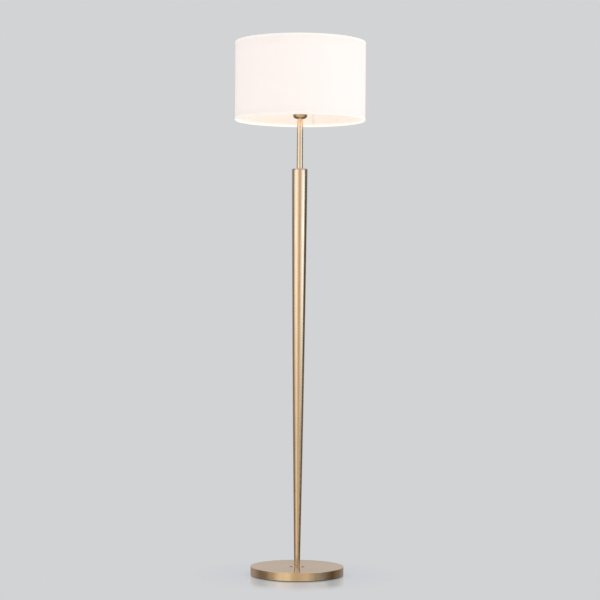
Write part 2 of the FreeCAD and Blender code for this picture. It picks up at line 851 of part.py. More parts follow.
def make_shade_arms():
    """The bent wires from the fitter ring up to the top hoop."""
    # heights here run from the shade's lower rim
    foot_height = s.fitter_rise + s.fitter_thickness + s.arm_wire / 2
    foot = fitter_diameter / 2 - s.arm_foot_length
    corner = fitter_diameter / 2 + s.arm_bend
    run = ring_circle - corner
    rise = ring_high_z - foot_height
    length = (run * run + rise * rise).root()
    along = run / length
    upward = rise / length
    bend_start = s.arm_bend * 2 * (as_size(1) - along) / upward
    end_gap = s.ring_wire / 2 + s.weld_gap
    path_corners = [
        (foot, foot_height),
        (corner - bend_start, foot_height, s.arm_bend * 2, 1),
        (corner + along * bend_start, foot_height + upward * bend_start),
        (ring_circle - along * end_gap, ring_high_z - upward * end_gap),
    ]
    for number in range(1, ARM_COUNT + 1):
        label = f"shade_arm_{number}"
        body = keep(document.addObject("PartDesign::Body", label), label)
        path = new_sketch(body, f"{label}_path", "XZ_Plane")
        draw(path, path_corners, closed=False)
        section = new_sketch(body, f"{label}_section", "YZ_Plane")
        bind(section, "AttachmentOffset.Base.z", foot)
        draw_circle(section, 0, foot_height, s.arm_wire / 2)
        wire = body.newObject("PartDesign::AdditivePipe", f"{label}_wire")
        wire.Profile = section
        wire.Spine = path
        angle = ARM_START_ANGLE + 360.0 * (number - 1) / ARM_COUNT
        body.Placement = FreeCAD.Placement(
            FreeCAD.Vector(0, 0, 0), FreeCAD.Rotation(FreeCAD.Vector(0, 0, 1), angle))
        seat(body, z=shade_z)


def make_clamp_ring():
    """The ring that screws down on the fitter ring, with grip notches round its edge."""
    ring = turned("shade_clamp_ring", ring_outline(clamp_bore, clamp_diameter, s.clamp_height))
    notch = pocket(ring, "grip_notch_cut", "XY_Plane",
                   lambda sketch: draw_circle(sketch, clamp_diameter / 2 + s.grip_notch / 4, 0,
                                              s.grip_notch / 2),
                   s.clamp_height, reverse=True)
    pattern = ring.newObject("PartDesign::PolarPattern", "grip_notches")
    pattern.Originals = [notch]
    pattern.Axis = (notch.Profile[0], ["N_Axis"])
    pattern.Angle = 360
    bind(pattern, "Occurrences", s.grip_count)
    ring.Tip = pattern
    seat(ring, z=shoulder_z + s.fitter_thickness + s.clamp_gap)


# ---------------------------------------------------------------- build, check and write

def build():
    for make in (
        make_base_pad, make_base_cover, make_base_weight, make_cable_grommet,
        make_base_fastening, make_foot_flange,
        make_column_tube, make_column_ends, make_tie_tube,
        make_upper_tube, make_socket_cup, make_head_nipple,
        make_holder_cap, make_holder_lock_screw, make_holder_insert, make_centre_contact,
        make_terminal_screws, make_screw_shell, make_holder_skirt,
        make_bulb_base, make_bulb_housing, make_bulb_inside, make_bulb_globe,
        make_shade_cover, make_shade_hems, make_shade_rings, make_shade_seam,
        make_fitter_ring, make_shade_arms, make_clamp_ring,
    ):
        make()
    document.recompute()


def check():
    for thing in document.Objects:
        if "Invalid" in thing.State or "Error" in thing.State:
            raise RuntimeError(f"{thing.Label} did not build: {thing.State}")
    for piece in pieces:
        if piece.Shape.isNull() or not piece.Shape.isValid():
            raise RuntimeError(f"{piece.Label} has no valid shape")


def write():
    os.makedirs("parts", exist_ok=True)
    for piece in pieces:
        piece.Shape.exportStep(f"parts/{piece.Label}.step")
        box = piece.Shape.BoundBox
        print(f"{piece.Label:24s} solids {len(piece.Shape.Solids)}  "
              f"z {box.ZMin:8.2f} to {box.ZMax:8.2f}  volume {piece.Shape.Volume / 1000:9.3f} cm3")


build()
check()
write()
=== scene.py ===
"""Straight floor lamp: a round weighted base, a tapered column, a slim tube and a lit drum shade.

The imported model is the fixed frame. Each sub-assembly is a class that works out its own
surfaces with numpy, in metres and in the frame's axes, and dresses them in procedural finishes.
"""

import functools
import json
import logging
import math
from abc import ABC, abstractmethod
from dataclasses import dataclass, field
from enum import Enum
from typing import Callable, Optional, Sequence, Union

import bpy
import numpy as np
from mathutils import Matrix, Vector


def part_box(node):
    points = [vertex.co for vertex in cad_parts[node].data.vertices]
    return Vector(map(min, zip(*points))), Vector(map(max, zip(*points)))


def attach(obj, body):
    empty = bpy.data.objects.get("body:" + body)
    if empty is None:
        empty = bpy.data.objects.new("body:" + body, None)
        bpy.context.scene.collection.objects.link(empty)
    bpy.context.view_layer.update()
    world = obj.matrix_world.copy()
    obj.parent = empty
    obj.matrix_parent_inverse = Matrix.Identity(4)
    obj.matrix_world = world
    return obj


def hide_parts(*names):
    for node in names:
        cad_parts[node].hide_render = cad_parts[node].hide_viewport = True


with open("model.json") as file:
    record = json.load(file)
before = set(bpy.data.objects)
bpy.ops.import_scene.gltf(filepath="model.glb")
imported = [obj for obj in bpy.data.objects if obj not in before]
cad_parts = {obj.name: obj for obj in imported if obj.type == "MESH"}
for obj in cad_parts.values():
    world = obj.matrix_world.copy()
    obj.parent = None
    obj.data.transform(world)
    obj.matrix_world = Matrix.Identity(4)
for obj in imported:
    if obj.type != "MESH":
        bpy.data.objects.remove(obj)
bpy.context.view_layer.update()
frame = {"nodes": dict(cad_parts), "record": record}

TURN = 2 * math.pi
MM = 0.001
SMOOTH_BELOW = 40.0
SUPPORT_SHARE = 0.4
DOME_START = 0.08
DOME_RINGS = 5
HOOP_SIDES = 20
QUARTER_TURN = 0.25

logging.basicConfig(level=logging.INFO, format="%(message)s")
log = logging.getLogger("floor_lamp")

Colour = tuple[float, float, float]
Socket = bpy.types.NodeSocket
Value = Union[float, Sequence[float], Socket]
Wobble = Callable[[np.ndarray, np.ndarray, np.ndarray], np.ndarray]
Stops = tuple[tuple[float, float, float, float], ...]
Fade = tuple[float, float]


class Body(Enum):
    """The frame's moving bodies."""

    STAND = "stand"
    SHADE = "shade"
    CLAMP_RING = "clamp_ring"
    BULB = "bulb"


class Side(Enum):
    """Which end of a sheet's height a hem folds over."""

    LOWER = 1.0
    UPPER = -1.0


# ------------------------------------------------------------------ surfaces


@dataclass
class Surface:
    """Vertices and faces of a closed shape, with an optional coordinate pair per vertex."""

    points: np.ndarray
    quads: np.ndarray
    triangles: np.ndarray = field(default_factory=lambda: np.zeros((0, 3), int))
    flat: Optional[np.ndarray] = None

    def volume(self) -> float:
        """Signed volume: a sixth of the sum, over the triangles, of a . (b x c).

        Returns:
            Cubic metres, positive when the faces point outwards.
        """
        split = [self.triangles, self.quads[:, [0, 1, 2]], self.quads[:, [0, 2, 3]]]
        a, b, c = (self.points[np.concatenate(split)[:, i]] for i in range(3))
        return float((a * np.cross(b, c)).sum() / 6)

    def outward(self) -> "Surface":
        """Turn the faces round where the signed volume is negative.

        Returns:
            This surface, its faces pointing outwards.
        """
        if self.volume() < 0:
            self.quads = self.quads[:, ::-1]
            self.triangles = self.triangles[:, ::-1]
        return self

    def joined(self, other: "Surface") -> "Surface":
        """Put another surface beside this one, as a second island.

        Args:
            other: the surface to add.

        Returns:
            A new surface with the vertices and faces of both.
        """
        shift = len(self.points)
        return Surface(
            np.concatenate([self.points, other.points]),
            np.concatenate([self.quads, other.quads + shift]),
            np.concatenate([self.triangles, other.triangles + shift]),
        )

    def turned(self, angle: float) -> "Surface":
        """Turn the shape about the upright axis: x cos a - y sin a, x sin a + y cos a.

        Args:
            angle: how far, in radians, counter-clockwise from above.

        Returns:
            A new surface in the turned place.
        """
        c, s = math.cos(angle), math.sin(angle)
        spin = np.array([[c, -s, 0.0], [s, c, 0.0], [0.0, 0.0, 1.0]])
        return Surface(self.points @ spin.T, self.quads, self.triangles, self.flat)


def grid_faces(rows: int, columns: int, wrap_rows: bool, wrap_columns: bool) -> np.ndarray:
    """Quads of a rows by columns grid of vertices stored row after row.

    Args:
        rows: number of vertex rows.
        columns: number of vertices in each row.
        wrap_rows: whether the last row joins the first.
        wrap_columns: whether the last column joins the first.

    Returns:
        An array of four vertex numbers per face.
    """
    i = np.arange(rows if wrap_rows else rows - 1)[:, None]
    j = np.arange(columns if wrap_columns else columns - 1)[None, :]
    below, right = (i + 1) % rows, (j + 1) % columns
    corners = (i * columns + j, i * columns + right,
               below * columns + right, below * columns + j)
    return np.stack(corners, axis=-1).reshape(-1, 4)


def rounded(corners: Sequence[tuple[float, ...]], steps: int = 6) -> np.ndarray:
    """A closed outline whose corners may be rounded.

    A corner is (radius, height) or (radius, height, fillet). The fillet is an arc that touches
    both sides: it starts and ends f / tan(half the corner's angle) from the corner. A point is
    added a little beyond each end of the arc, where the side is long enough, so that the flats
    beside it shade flat.

    Args:
        corners: the outline's corners, counter-clockwise.
        steps: faces along each fillet.

    Returns:
        An array of (radius, height) points.
    """
    sharp = np.array([c[:2] for c in corners], float)
    made = []
    for index, corner in enumerate(corners):
        here, before = sharp[index], sharp[index - 1]
        after = sharp[(index + 1) % len(sharp)]
        fillet = corner[2] if len(corner) > 2 else 0.0
        if fillet <= 0:
            made.append(here[None, :])
            continue
        u, v = before - here, after - here
        long_u, long_v = np.linalg.norm(u), np.linalg.norm(v)
        u, v = u / long_u, v / long_v
        half = math.acos(float(np.clip(u @ v, -1, 1))) / 2
        reach = fillet / math.tan(half)
        centre = here + (u + v) / np.linalg.norm(u + v) * fillet / math.sin(half)
        start, end = here + u * reach - centre, here + v * reach - centre
        t = np.linspace(0, 1, steps + 1)[:, None]
        spread = math.pi - 2 * half
        sweep = np.sin((1 - t) * spread) * start + np.sin(t * spread) * end
        arc = centre + sweep / math.sin(spread)
        support = fillet * SUPPORT_SHARE
        lead = [here + u * (reach + support)] if long_u > 3 * (reach + support) else []
        tail = [here + v * (reach + support)] if long_v > 3 * (reach + support) else []
        made.append(np.array([*lead, *arc, *tail]))
    return np.concatenate(made)


def lathe(outline: np.ndarray, segments: int = 256,
          wobble: Optional[Wobble] = None) -> Surface:
    """Turn an outline about the upright axis: x = r cos a, y = r sin a, z = height.

    An outline that begins and ends on the axis, at radius 0, makes a solid piece or a dome with
    one vertex at each pole. Any other outline is taken as closed and makes a ring or a tube.

    Args:
        outline: (radius, height) points.
        segments: faces round the axis.
        wobble: gives a change of radius for each (angle, radius, height).

    Returns:
        The closed surface.
    """
    poles = outline[[0, -1]] if outline[0, 0] == outline[-1, 0] == 0 else None
    ring = outline if poles is None else outline[1:-1]
    angle = np.arange(segments) / segments * TURN
    radius, height, around = np.broadcast_arrays(ring[:, :1], ring[:, 1:], angle[None, :])
    if wobble is not None:
        radius = radius + wobble(around, radius, height)
    points = np.stack([radius * np.cos(around), radius * np.sin(around), height], -1)
    points = points.reshape(-1, 3)
    quads = grid_faces(len(ring), segments, poles is None, True)
    if poles is None:
        return Surface(points, quads).outward()
    ends = [[0, 0, z] for z in poles[:, 1]]
    return Surface(*with_poles(points, segments, ends, quads)).outward()


def with_poles(points: np.ndarray, columns: int, poles: Sequence[Sequence[float]],
               quads: np.ndarray) -> tuple[np.ndarray, np.ndarray, np.ndarray]:
    """Close the first and last rows of a wrapped grid with a fan to a pole each.

    Args:
        points: the grid's vertices, row after row.
        columns: vertices in each row.
        poles: the points before the first row and after the last.
        quads: the grid's faces.

    Returns:
        The vertices with the two poles added, the faces and the fans' triangles.
    """
    count, j = len(points), np.arange(columns)
    after, last = (j + 1) % columns, len(points) - columns
    fans = np.concatenate([
        np.stack([np.full(columns, count), after, j], -1),
        np.stack([np.full(columns, count + 1), last + j, last + after], -1)])
    return np.concatenate([points, np.array(poles, float)]), quads, fans


def ball(centre: Sequence[float], radii: Sequence[float], rows: int = 12,
         columns: int = 20) -> Surface:
    """A small closed ellipsoid: centre plus radii times the unit vector of each (angle, tilt).

    Args:
        centre: its middle.
        radii: half its width, depth and height.
        rows: rings of vertices between the poles.
        columns: vertices in each ring.

    Returns:
        The closed surface.
    """
    tilt = (np.arange(rows) + 0.5) / rows * math.pi
    angle = np.arange(columns) / columns * TURN
    unit = np.stack([
        np.sin(tilt)[:, None] * np.cos(angle), np.sin(tilt)[:, None] * np.sin(angle),
        np.repeat(np.cos(tilt)[:, None], columns, axis=1)], -1).reshape(-1, 3)
    poles = [[0, 0, 1], [0, 0, -1]]
    unit, quads, fans = with_poles(unit, columns, poles, grid_faces(rows, columns, False, True))
    return Surface(np.array(centre) + unit * np.array(radii), quads, fans).outward()


def wire(path: np.ndarray, radius: float, sides: int = 20) -> Surface:
    """A round wire along a path in the upright plane y = 0, with domed ends.

    Each ring is path + radius * (cos a * normal + sin a * y axis), and the rings at the two
    ends shrink as a quarter circle does while the path runs on by the same radius.

    Args:
        path: (x, z) points of the wire's middle.
        radius: the wire's radius.
        sides: faces round the wire.

    Returns:
        The closed surface.
    """
    run = np.gradient(path, axis=0)
    run /= np.linalg.norm(run, axis=1, keepdims=True)
    dome = np.linspace(DOME_START, 1.0, DOME_RINGS) * math.pi / 2
    head = path[:1] - run[:1] * (np.cos(dome) * radius)[:, None]
    tail = (path[-1:] + run[-1:] * (np.cos(dome) * radius)[:, None])[::-1]
    line = np.concatenate([head, path[1:-1], tail])
    run = np.concatenate([np.repeat(run[:1], DOME_RINGS, 0), run[1:-1],
                          np.repeat(run[-1:], DOME_RINGS, 0)])
    size = np.concatenate([np.sin(dome), np.ones(len(path) - 2), np.sin(dome)[::-1]]) * radius
    normal = np.stack([-run[:, 1], run[:, 0]], -1)
    angle = np.arange(sides) / sides * TURN
    across = size[:, None] * np.cos(angle)
    points = np.stack([
        line[:, :1] + across * normal[:, :1], size[:, None] * np.sin(angle),
        line[:, 1:] + across * normal[:, 1:]], -1).reshape(-1, 3)
    ends = [[head[0, 0], 0.0, head[0, 1]], [tail[-1, 0], 0.0, tail[-1, 1]]]
    quads = grid_faces(len(line), sides, False, True)
    return Surface(*with_poles(points, sides, ends, quads)).outward()


def slab(outer: np.ndarray, inner: np.ndarray, flat: np.ndarray) -> Surface:
    """A thin sheet between two grids of points: both faces and the rim that joins their edges.

    Args:
        outer: rows by columns by 3 points of one face.
        inner: the same grid for the other face.
        flat: rows by columns by 2 distances along the uncut sheet, in metres.

    Returns:
        The closed surface, with the flat distances kept for its weave.
    """
    rows, columns = outer.shape[:2]
    faces = grid_faces(rows, columns, False, False)
    count = rows * columns
    number = np.arange(count).reshape(rows, columns)
    edge = np.concatenate([
        number[0, :-1], number[:-1, -1], number[-1, :0:-1], number[:0:-1, 0]])
    after = np.roll(edge, -1)
    rim = np.stack([after, edge, edge + count, after + count], -1)
    quads = np.concatenate([faces, faces[:, ::-1] + count, rim])
    points = np.concatenate([outer.reshape(-1, 3), inner.reshape(-1, 3)])
    return Surface(points, quads, flat=np.tile(flat.reshape(-1, 2), (2, 1))).outward()


# ------------------------------------------------------------------ material recipes


class Recipe:
    """A node tree, written as plain calls that return sockets."""

    def __init__(self, owner: Union[bpy.types.Material, bpy.types.World], output: str) -> None:
        """Empty the owner's node tree but for an output.

        Args:
            owner: the material or world that the nodes belong to.
            output: the kind of output, Material or World.
        """
        owner.use_nodes = True
        self.nodes, self.links = owner.node_tree.nodes, owner.node_tree.links
        self.nodes.clear()
        self.output = self.nodes.new("ShaderNodeOutput" + output)

    def feed(self, socket: Socket, value: Value) -> None:
        """Link a socket, or set the value that it holds.

        Args:
            socket: the input to fill.
            value: an output to link to it, or a number, a colour or a vector to set.
        """
        if isinstance(value, bpy.types.NodeSocket):
            self.links.new(value, socket)
        elif socket.type == "RGBA" and len(value) == 3:
            socket.default_value = (*value, 1.0)
        else:
            socket.default_value = value

    def node(self, kind: str, inputs: dict[Union[int, str], Value],
             output: Union[int, str] = 0, **settings: Union[str, bool, float]) -> Socket:
        """Add a node and feed its inputs.

        Args:
            kind: the node's type, without its first word.
            inputs: what to feed, by the input's name or number.
            output: the name or number of the output that is wanted.
            settings: the node's own properties.

        Returns:
            The wanted output.
        """
        made = self.nodes.new("ShaderNode" + kind)
        for name, value in settings.items():
            setattr(made, name, value)
        for name, value in inputs.items():
            self.feed(made.inputs[name], value)
        return made.outputs[output]

    def place(self) -> Socket:
        """The point on the piece, in the frame's metres."""
        return self.node("TexCoord", {}, "Object")

    def math(self, operation: str, a: Value, b: Value = 0.0) -> Socket:
        """One arithmetic step."""
        return self.node("Math", {0: a, 1: b}, operation=operation)

    def plus(self, a: Value, b: Value) -> Socket:
        """a + b."""
        return self.math("ADD", a, b)

    def times(self, a: Value, b: Value) -> Socket:
        """a * b."""
        return self.math("MULTIPLY", a, b)

    def split(self, vector: Socket) -> tuple[Socket, Socket, Socket]:
        """The three parts of a vector."""
        x = self.node("SeparateXYZ", {0: vector})
        return x, x.node.outputs[1], x.node.outputs[2]

    def joint(self, x: Value, y: Value, z: Value) -> Socket:
        """A vector from three parts."""
        return self.node("CombineXYZ", {0: x, 1: y, 2: z})

    def around(self) -> tuple[Socket, Socket, Socket, Socket]:
        """The point in turned form: the distance is the root of x squared plus y squared.

        Returns:
            Distance from the upright axis, height, and cosine and sine of the angle round it.
        """
        x, y, z = self.split(self.place())
        radius = self.math("SQRT", self.plus(self.times(x, x), self.times(y, y)))
        safe = self.plus(radius, 1e-6)
        return radius, z, self.math("DIVIDE", x, safe), self.math("DIVIDE", y, safe)

    def noise(self, vector: Socket, scale: float, detail: float = 2.0,
              rough: float = 0.5) -> Socket:
        """Soft cloud pattern from 0 to 1."""
        return self.node("TexNoise", {"Vector": vector, "Scale": scale, "Detail": detail,
                                      "Roughness": rough}, "Fac")

    def span(self, value: Value, low: float, high: float, to_low: float = 0.0,
             to_high: float = 1.0) -> Socket:
        """The value's place between low and high, moved to between to_low and to_high."""
        return self.node("MapRange", {0: value, 1: low, 2: high, 3: to_low, 4: to_high})

    def hump(self, rise: Socket) -> Socket:
        """4 rise (1 - rise): 0 at both ends of a rise from 0 to 1, and 1 half way."""
        return self.times(self.times(rise, self.math("SUBTRACT", 1.0, rise)), 4.0)

    def mix(self, share: Value, a: Value, b: Value) -> Socket:
        """A colour between a and b."""
        return self.node("Mix", {0: share, 6: a, 7: b}, 2, data_type="RGBA")

    def bump(self, height: Value, strength: float, distance: float) -> Socket:
        """A normal that follows a height pattern of that depth in metres."""
        return self.node("Bump", {"Height": height, "Strength": strength, "Distance": distance})

    def surface(self, **inputs: Value) -> None:
        """Finish with a principled shader; an underscore in a name stands for a space."""
        named = {name.replace("_", " "): value for name, value in inputs.items()}
        self.feed(self.output.inputs[0], self.node("BsdfPrincipled", named))


def shade_of(colour: Colour, share: float) -> Colour:
    """The colour made lighter or darker by a share."""
    return tuple(min(1.0, c * share) for c in colour)


class Finish(ABC):
    """A procedural finish; two pieces with equal finishes share one material."""

    name: str

    @abstractmethod
    def dress(self, recipe: Recipe) -> None:
        """Write the finish's nodes.

        Args:
            recipe: the material's node tree.
        """


@functools.cache
def material_of(finish: Finish) -> bpy.types.Material:
    """Make a finish's material, once.

    Args:
        finish: what to make; equal finishes are the same key.

    Returns:
        The material.
    """
    material = bpy.data.materials.new(finish.name)
    finish.dress(Recipe(material, "Material"))
    return material


@dataclass(frozen=True)
class SpunMetal(Finish):
    """Metal polished on a lathe: fine lines round the axis, clouded by handling, under lacquer."""

    name: str = "satin_brass"
    colour: Colour = (0.86, 0.65, 0.45)
    roughness: float = 0.16
    lines_per_metre: float = 2600.0
    streak: float = 0.035
    edge: Colour = (0.93, 0.83, 0.71)
    lacquer: float = 0.25
    lacquer_roughness: float = 0.12
    anisotropy: float = 0.55
    height_share: float = 1.07
    arc_share: float = 2.2
    dark: float = 0.955
    light: float = 1.03

    def dress(self, recipe: Recipe) -> None:
        """Lines follow radius plus height, so they circle walls, flats and rounded edges alike.

        Args:
            recipe: the material's node tree.
        """
        radius, height, cosine, sine = recipe.around()
        across = recipe.plus(radius, recipe.times(height, self.height_share))
        across = recipe.times(across, self.lines_per_metre)
        along = (recipe.times(part, self.arc_share) for part in (cosine, sine))
        rings = recipe.noise(recipe.joint(across, *along), 1.0, 3.0, 0.65)
        cloud = recipe.noise(recipe.place(), 17.0, 2.0, 0.5)
        tone = recipe.plus(recipe.times(rings, 0.45), recipe.times(cloud, 0.55))
        colour = recipe.mix(recipe.span(tone, 0.35, 0.65),
                            shade_of(self.colour, self.dark), shade_of(self.colour, self.light))
        fine = recipe.span(rings, 0.3, 0.7, self.roughness - self.streak,
                           self.roughness + self.streak)
        rough = recipe.plus(fine, recipe.span(cloud, 0.3, 0.7, -0.02, 0.025))
        tangent = recipe.node("Tangent", {}, direction_type="RADIAL", axis="Z")
        recipe.surface(
            Base_Color=colour, Metallic=1.0, Roughness=rough, Specular_Tint=self.edge,
            Anisotropic=self.anisotropy, Anisotropic_Rotation=QUARTER_TURN, Tangent=tangent,
            Coat_Weight=self.lacquer, Coat_Roughness=self.lacquer_roughness,
            Normal=recipe.bump(rings, 0.06, 0.00003))


@dataclass(frozen=True)
class PlainMetal(Finish):
    """Machined or plated metal that is mostly out of sight."""

    name: str
    colour: Colour
    roughness: float = 0.34
    mottle: float = 420.0
    stain: float = 0.82

    def dress(self, recipe: Recipe) -> None:
        """Small crystals of plating over broad, duller stains.

        Args:
            recipe: the material's node tree.
        """
        grain = recipe.node("TexVoronoi", {"Vector": recipe.place(), "Scale": self.mottle})
        cloud = recipe.noise(recipe.place(), 60.0, 4.0, 0.6)
        colour = recipe.mix(cloud, shade_of(self.colour, self.stain), self.colour)
        rough = recipe.plus(recipe.times(grain, 0.12), self.roughness - 0.04)
        recipe.surface(Base_Color=colour, Metallic=1.0, Roughness=rough,
                       Normal=recipe.bump(grain, 0.12, 0.00005))


@dataclass(frozen=True)
class CastIron(Finish):
    """Sand-cast iron under thin black paint."""

    name: str = "cast_iron"
    colour: Colour = (0.022, 0.022, 0.024)
    worn: Colour = (0.085, 0.083, 0.08)

    def dress(self, recipe: Recipe) -> None:
        """Sand grain in two sizes, with worn grey on its highest points.

        Args:
            recipe: the material's node tree.
        """
        coarse = recipe.noise(recipe.place(), 260.0, 5.0, 0.62)
        fine = recipe.noise(recipe.place(), 1300.0, 3.0, 0.6)
        height = recipe.plus(recipe.times(coarse, 0.7), recipe.times(fine, 0.3))
        colour = recipe.mix(recipe.span(height, 0.52, 0.68), self.colour, self.worn)
        recipe.surface(Base_Color=colour, Roughness=recipe.span(fine, 0.3, 0.7, 0.55, 0.85),
                       Normal=recipe.bump(height, 0.6, 0.0004))


@dataclass(frozen=True)
class Moulded(Finish):
    """Moulded plastic, rubber or ceramic: a fine skin over faint flow and a few pale specks."""

    name: str
    colour: Colour
    roughness: float = 0.42
    grain: float = 1500.0
    depth: float = 0.00002
    specks: float = 0.0
    dust: Colour = (0.5, 0.48, 0.44)

    def dress(self, recipe: Recipe) -> None:
        """Skin grain drives the bump; broad flow changes the gloss and the tone a little.

        Args:
            recipe: the material's node tree.
        """
        grain = recipe.noise(recipe.place(), self.grain, 3.0, 0.55)
        flow = recipe.noise(recipe.place(), 45.0, 3.0, 0.5)
        colour = recipe.mix(flow, shade_of(self.colour, 0.9), shade_of(self.colour, 1.06))
        if self.specks > 0:
            dust = recipe.noise(recipe.place(), 820.0, 1.0, 0.5)
            colour = recipe.mix(recipe.span(dust, 0.74, 0.78, 0.0, self.specks), colour, self.dust)
        rough = recipe.plus(recipe.times(flow, 0.12),
                            recipe.plus(recipe.times(grain, 0.1), self.roughness - 0.11))
        recipe.surface(Base_Color=colour, Roughness=rough,
                       Normal=recipe.bump(grain, 0.5, self.depth))


@dataclass(frozen=True)
class CircuitBoard(Finish):
    """Green board with rows of bright pads and darker tracks."""

    name: str = "circuit_board"
    pad: Colour = (0.75, 0.72, 0.62)
    track: Colour = (0.02, 0.17, 0.06)
    mask: Colour = (0.015, 0.12, 0.045)

    def dress(self, recipe: Recipe) -> None:
        """A brick grid lays out the pads; the mortar between them is solder mask.

        Args:
            recipe: the material's node tree.
        """
        x, _, z = recipe.split(recipe.place())
        pads = recipe.node("TexBrick", {
            "Vector": recipe.joint(x, z, 0.0), "Color1": self.pad, "Color2": self.track,
            "Mortar": self.mask, "Scale": 260.0, "Mortar Size": 0.03, "Bias": 0.4})
        recipe.surface(Base_Color=pads, Roughness=0.4,
                       Normal=recipe.bump(recipe.noise(recipe.place(), 900.0), 0.2, 0.00003))


@dataclass(frozen=True)
class OpalGlow(Finish):
    """Opal bulb globe, lit from the plate below it."""

    name: str = "bulb_opal"
    colour: Colour = (1.0, 0.83, 0.62)
    body: Colour = (0.55, 0.53, 0.50)
    strength: float = 9.0
    seen_strength: float = 0.75
    foot: float = 1.419
    crown: float = 1.4635

    def dress(self, recipe: Recipe) -> None:
        """Brightest half way up, a little dimmer at the crown and at the rim. It lights the shade
        at its full strength and is seen at a lower one, as an eye or a lens would clip it.

        Args:
            recipe: the material's node tree.
        """
        _, _, z = recipe.split(recipe.place())
        hump = recipe.hump(recipe.span(z, self.foot, self.crown))
        frost = recipe.noise(recipe.place(), 700.0, 2.0)
        seen = recipe.node("LightPath", {}, "Is Camera Ray")
        even = recipe.span(frost, 0.0, 1.0, 0.6, 0.7)
        glow = recipe.times(recipe.plus(recipe.times(hump, 0.35), even),
                            recipe.span(seen, 0.0, 1.0, self.strength, self.seen_strength))
        recipe.surface(Base_Color=self.body, Roughness=recipe.span(frost, 0.3, 0.7, 0.32, 0.5),
                       Emission_Color=self.colour, Emission_Strength=glow,
                       Normal=recipe.bump(frost, 0.15, 0.00003))


@dataclass(frozen=True)
class LampCloth(Finish):
    """Plain woven cloth with a painted glow standing in for the bulb's light through it: brighter
    half way up, dimmer and warmer towards the rims.
    """

    name: str = "shade_cloth"
    colour: Colour = (0.90, 0.885, 0.86)
    glow: Colour = (0.437, 0.363, 0.335)
    rim_glow: Colour = (0.405, 0.31, 0.265)
    thread: float = 0.00060
    slub_across: float = 1500.0
    slub_along: float = 30.0
    slub: float = 0.055
    depth: float = 0.00010
    foot: float = 1.3203
    head: float = 1.5483

    def dress(self, recipe: Recipe) -> None:
        """Weave: warp and weft are cosines of the flat distances, and one lies over the other
        wherever the product of their half-rate sines is positive. Slubs are noise drawn out
        along each thread. The glow is painted light standing in for the bulb's light through
        the cloth: dimmer over thick threads and over raised threads.

        Args:
            recipe: the material's node tree.
        """
        across, up, _ = recipe.split(recipe.node("UVMap", {}, uv_map="flat"))
        rate = TURN / self.thread
        drift = recipe.times(recipe.noise(recipe.joint(
            recipe.times(across, 60.0), recipe.times(up, 60.0), 0.0), 1.0, 2.0), 1.6)
        u, v = (recipe.plus(recipe.times(part, rate), drift) for part in (across, up))
        warp, weft = (recipe.span(recipe.math("COSINE", part), -1.0, 1.0) for part in (u, v))
        cross = recipe.times(recipe.math("SINE", recipe.times(u, 0.5)),
                             recipe.math("SINE", recipe.times(v, 0.5)))
        over = recipe.span(cross, -0.35, 0.35)
        height = recipe.node("Mix", {0: over, 2: weft, 3: warp})
        lengthwise = recipe.noise(recipe.joint(
            recipe.times(across, self.slub_across), recipe.times(up, self.slub_along), 1.7),
            1.0, 1.0)
        crosswise = recipe.noise(recipe.joint(
            recipe.times(across, self.slub_along), recipe.times(up, self.slub_across), 9.2),
            1.0, 1.0)
        slubs = recipe.span(recipe.plus(lengthwise, crosswise), 0.75, 1.25, -1.0, 1.0)
        # painted glow: dimmer over slubs and over raised threads
        light = recipe.plus(1.0, recipe.plus(
            recipe.times(slubs, -self.slub), recipe.times(recipe.plus(height, -0.5), -0.05)))
        _, _, z = recipe.split(recipe.place())
        # painted glow: brighter half way up the drum, dimmer and warmer at the rims
        middle = recipe.hump(recipe.span(z, self.foot, self.head))
        painted_glow_tint = recipe.mix(recipe.span(middle, 0.0, 0.4), self.rim_glow, self.glow)
        tone = recipe.mix(recipe.span(slubs, -1.0, 1.0), shade_of(self.colour, 1.03),
                          shade_of(self.colour, 0.95))
        recipe.surface(
            Base_Color=tone, Roughness=recipe.span(height, 0.0, 1.0, 0.95, 0.8),
            Sheen_Weight=0.25, Sheen_Roughness=0.5, Emission_Color=painted_glow_tint,
            Emission_Strength=light,
            Normal=recipe.bump(recipe.plus(height, recipe.times(slubs, 0.5)), 0.35, self.depth))


